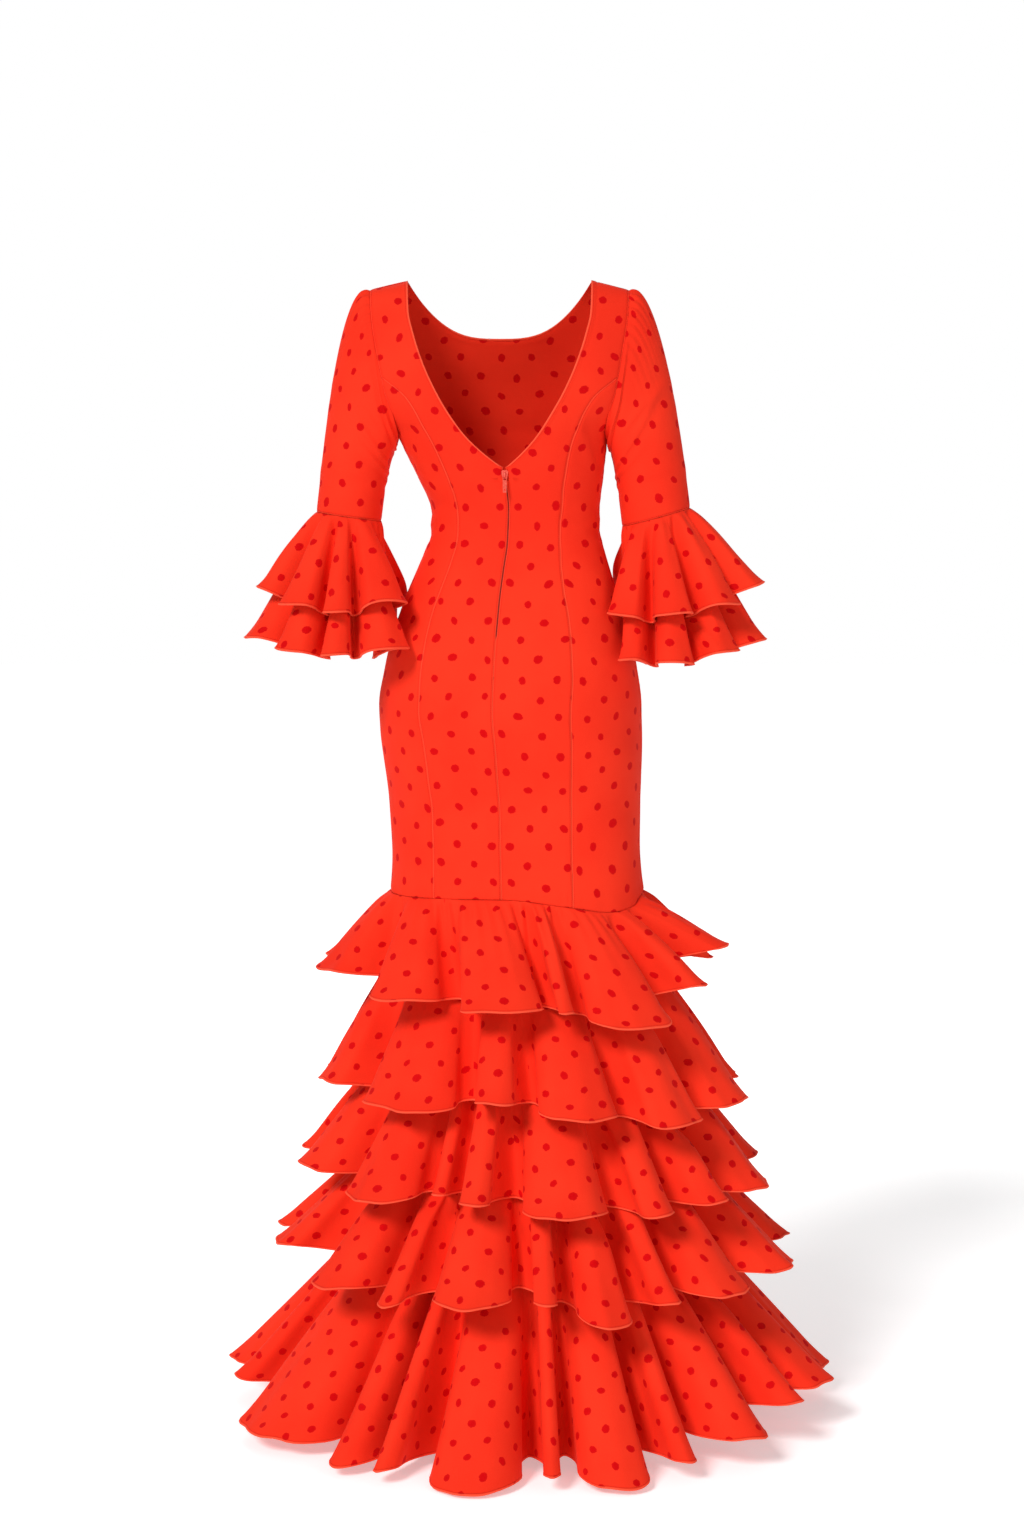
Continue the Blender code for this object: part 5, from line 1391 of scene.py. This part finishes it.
def dot_distance(tree, grain):
    """How far a place is from the nearest of two lattices' dots, which are slightly uneven."""
    shake = uneven(tree, grain, 17.0, 0.0, (0.020, 0.014, 0.0))
    fray = uneven(tree, grain, 420.0, 1.0, (0.0022, 0.0022, 0.0))
    at = vector_node(tree, "ADD", grain, vector_node(tree, "ADD", shake, fray))
    steps = vector_node(tree, "DIVIDE", at, (DOT_ACROSS, DOT_DOWN, 1.0))
    distances = []
    for shift in ((0.5, 0.5, 0.0), (0.0, 0.0, 0.0)):
        cell = vector_node(tree, "FRACTION", vector_node(tree, "ADD", steps, shift))
        cell = vector_node(tree, "SUBTRACT", cell, (0.5, 0.5, 0.0))
        cell = vector_node(tree, "MULTIPLY", cell, (DOT_ACROSS, DOT_DOWN, 0.0))
        distances.append(vector_node(tree, "LENGTH", cell))
    return math_node(tree, "MINIMUM", *distances)


def dotted_cloth():
    gloss = {
        "Specular IOR Level": 0.11,
        "Specular Tint": (1.0, 0.75, 0.50),
        "Sheen Weight": 0.08,
        "Sheen Roughness": 0.40,
        "Sheen Tint": (1.0, 0.28, 0.18),
    }
    material, tree, shader = new_material("dotted_crepe", gloss)
    grain = new_node(tree, "UVMap", uv_map="Grain").outputs[0]
    split = new_node(tree, "SeparateXYZ", [new_node(tree, "UVMap", uv_map="Edge").outputs[0]])
    to_edge, along_edge = split.outputs[:2]
    place = object_place(tree)
    dot = ramp(tree, dot_distance(tree, grain), DOT_RADIUS - 0.0005, DOT_RADIUS + 0.0005, 1.0, 0.0)
    ground = mix_colour(tree, ramp(tree, noise(tree, place, 7.0, 4.0), 0.35, 0.70, 0.0, 1.0), RED, RED_DEEP)
    speckle = ramp(tree, noise(tree, grain, 650.0, 2.0), 0.40, 0.75, 0.0, 0.10)
    ground = mix_colour(tree, speckle, ground, SPECKLE)
    thin = ramp(tree, noise(tree, grain, 300.0, 2.0), 0.35, 0.8, 0.0, 0.20)
    colour = mix_colour(tree, dot, ground, mix_colour(tree, thin, DOT, DOT_THIN))
    # A painted highlight lightens the turned edges and rolled hems; the stitches beside them sink in.
    colour = mix_colour(tree, ramp(tree, to_edge, 0.0008, 0.0028, 0.75, 0.0), colour, HEM_PAINTED_HIGHLIGHT)
    line = math_node(tree, "ABSOLUTE", math_node(tree, "SUBTRACT", to_edge, 0.0034))
    line = ramp(tree, line, 0.0002, 0.0007, 1.0, 0.0)
    dash = math_node(tree, "FRACT", math_node(tree, "MULTIPLY", along_edge, 360.0))
    stitch = math_node(tree, "MULTIPLY", line, ramp(tree, dash, 0.12, 0.30, 0.0, 1.0))
    colour = mix_colour(tree, math_node(tree, "MULTIPLY", stitch, 0.5), colour, STITCH)
    feed(tree, shader.inputs["Base Color"], colour)
    soft = weave(tree, grain, place, shader, 0.35, 300.0)
    sewn = bump_node(tree, math_node(tree, "MULTIPLY", stitch, -1.0), 0.5, 0.0006)
    feed(tree, soft.inputs["Normal"], sewn.outputs[0])
    return material


def plain_cloth(name, base, deep, threads):
    material, tree, shader = new_material(name, {"Specular IOR Level": 0.10, "Sheen Weight": 0.05})
    grain = new_node(tree, "UVMap", uv_map="Grain").outputs[0]
    place = object_place(tree)
    colour = mix_colour(tree, ramp(tree, noise(tree, place, 9.0), 0.3, 0.7, 0.0, 1.0), base, deep)
    feed(tree, shader.inputs["Base Color"], colour)
    weave(tree, grain, place, shader, 0.4, threads)
    return material


def painted_metal(name, base, worn, roughness, coat=0.4):
    gloss = {"Metallic": 0.35, "Coat Weight": coat, "Coat Roughness": 0.25}
    material, tree, shader = new_material(name, gloss)
    place = object_place(tree)
    wear = ramp(tree, noise(tree, place, 700.0, 4.0), 0.52, 0.66, 0.0, 0.5)
    rough = ramp(tree, noise(tree, place, 1500.0), 0.3, 0.7, roughness, roughness + 0.2)
    feed(tree, shader.inputs["Base Color"], mix_colour(tree, wear, base, worn))
    feed(tree, shader.inputs["Roughness"], rough)
    rise = bump_node(tree, noise(tree, place, 900.0), 0.25, 0.0002)
    feed(tree, shader.inputs["Normal"], rise.outputs[0])
    return material


# ---------------------------------------------------------------- the setting
def aim(thing, direction):
    thing.rotation_euler = Vector(direction).to_track_quat("-Z", "Y").to_euler()


def area_light(name, place, size, power):
    """A square light that looks at the middle of the dress."""
    lamp = bpy.data.lights.new(name, "AREA")
    lamp.shape = "RECTANGLE"
    lamp.size = size
    lamp.size_y = size
    lamp.energy = power
    thing = placed(name, lamp)
    thing.location = place
    aim(thing, Vector(DRESS_MIDDLE) - Vector(place))


def make_floor():
    ends = ((-1, -1), (1, -1), (1, 1), (-1, 1))
    corners = [(x * FLOOR_SIZE, y * FLOOR_SIZE, FLOOR_Z) for x, y in ends]
    mesh = bpy.data.meshes.new("floor")
    mesh.from_pydata(corners, [], [(0, 1, 2, 3)])
    floor = placed("floor", mesh)
    values = {
        "Base Color": (0.95, 0.95, 0.95),
        "Roughness": 0.95,
        "Specular IOR Level": 0.05,
        "Emission Color": (1.0, 1.0, 1.0),
        "Emission Strength": FLOOR_GLOW,
    }
    mesh.materials.append(new_material("floor_paper", values)[0])


def make_setting():
    world = bpy.data.worlds.new("studio")
    world.use_nodes = True
    # The paper behind is white, and the light that it gives is softer than it looks.
    tree = world.node_tree
    paper = tree.nodes["Background"]
    paper.inputs[0].default_value = (1.0, 1.0, 1.0, 1.0)
    seen = tree.nodes.new("ShaderNodeLightPath").outputs["Is Camera Ray"]
    feed(tree, paper.inputs[1], ramp(tree, seen, 0.0, 1.0, WORLD_LIGHT, 1.0))
    bpy.context.scene.world = world
    sun = bpy.data.lights.new("softbox", "SUN")
    sun.energy = SUN_STRENGTH
    sun.angle = math.radians(SUN_WIDTH)
    aim(placed("softbox", sun), SUN_WAY)
    area_light("fill", (-2.4, 3.2, 0.4), 2.4, 22.0)
    area_light("front", (0.5, -3.4, 1.2), 2.6, 50.0)
    lens = bpy.data.cameras.new("camera")
    lens.lens = LENS
    lens.sensor_width = 36.0
    lens.sensor_fit = "AUTO"
    lens.clip_end = 60.0
    camera = placed("camera", lens)
    camera.location = CAMERA_PLACE
    camera.rotation_euler = (math.radians(90.0 - CAMERA_TILT), 0.0, math.radians(180.0))
    bpy.context.scene.camera = camera
    bpy.context.scene.view_settings.view_transform = "Standard"


make_floor()
make_setting()
cloth = dotted_cloth()
lining = plain_cloth("plain_crepe", (0.93, 0.045, 0.018), (0.80, 0.028, 0.012), 300.0)
tape = plain_cloth("woven_tape", (0.62, 0.045, 0.030), (0.45, 0.030, 0.022), 500.0)
teeth = painted_metal("coil_teeth", (0.36, 0.022, 0.016), (0.48, 0.045, 0.034), 0.55, 0.05)
metal = painted_metal("coral_enamel", (0.86, 0.075, 0.045), (0.95, 0.25, 0.16), 0.28)
make_body()
make_skirt()
make_underskirt()
for label in CUFFS:
    make_sleeve(label)
make_wrists()
make_tapes()
make_coil()
softened("zip_slider", "dress")
softened("zip_pull", "pull")

bpy.context.view_layer.update()
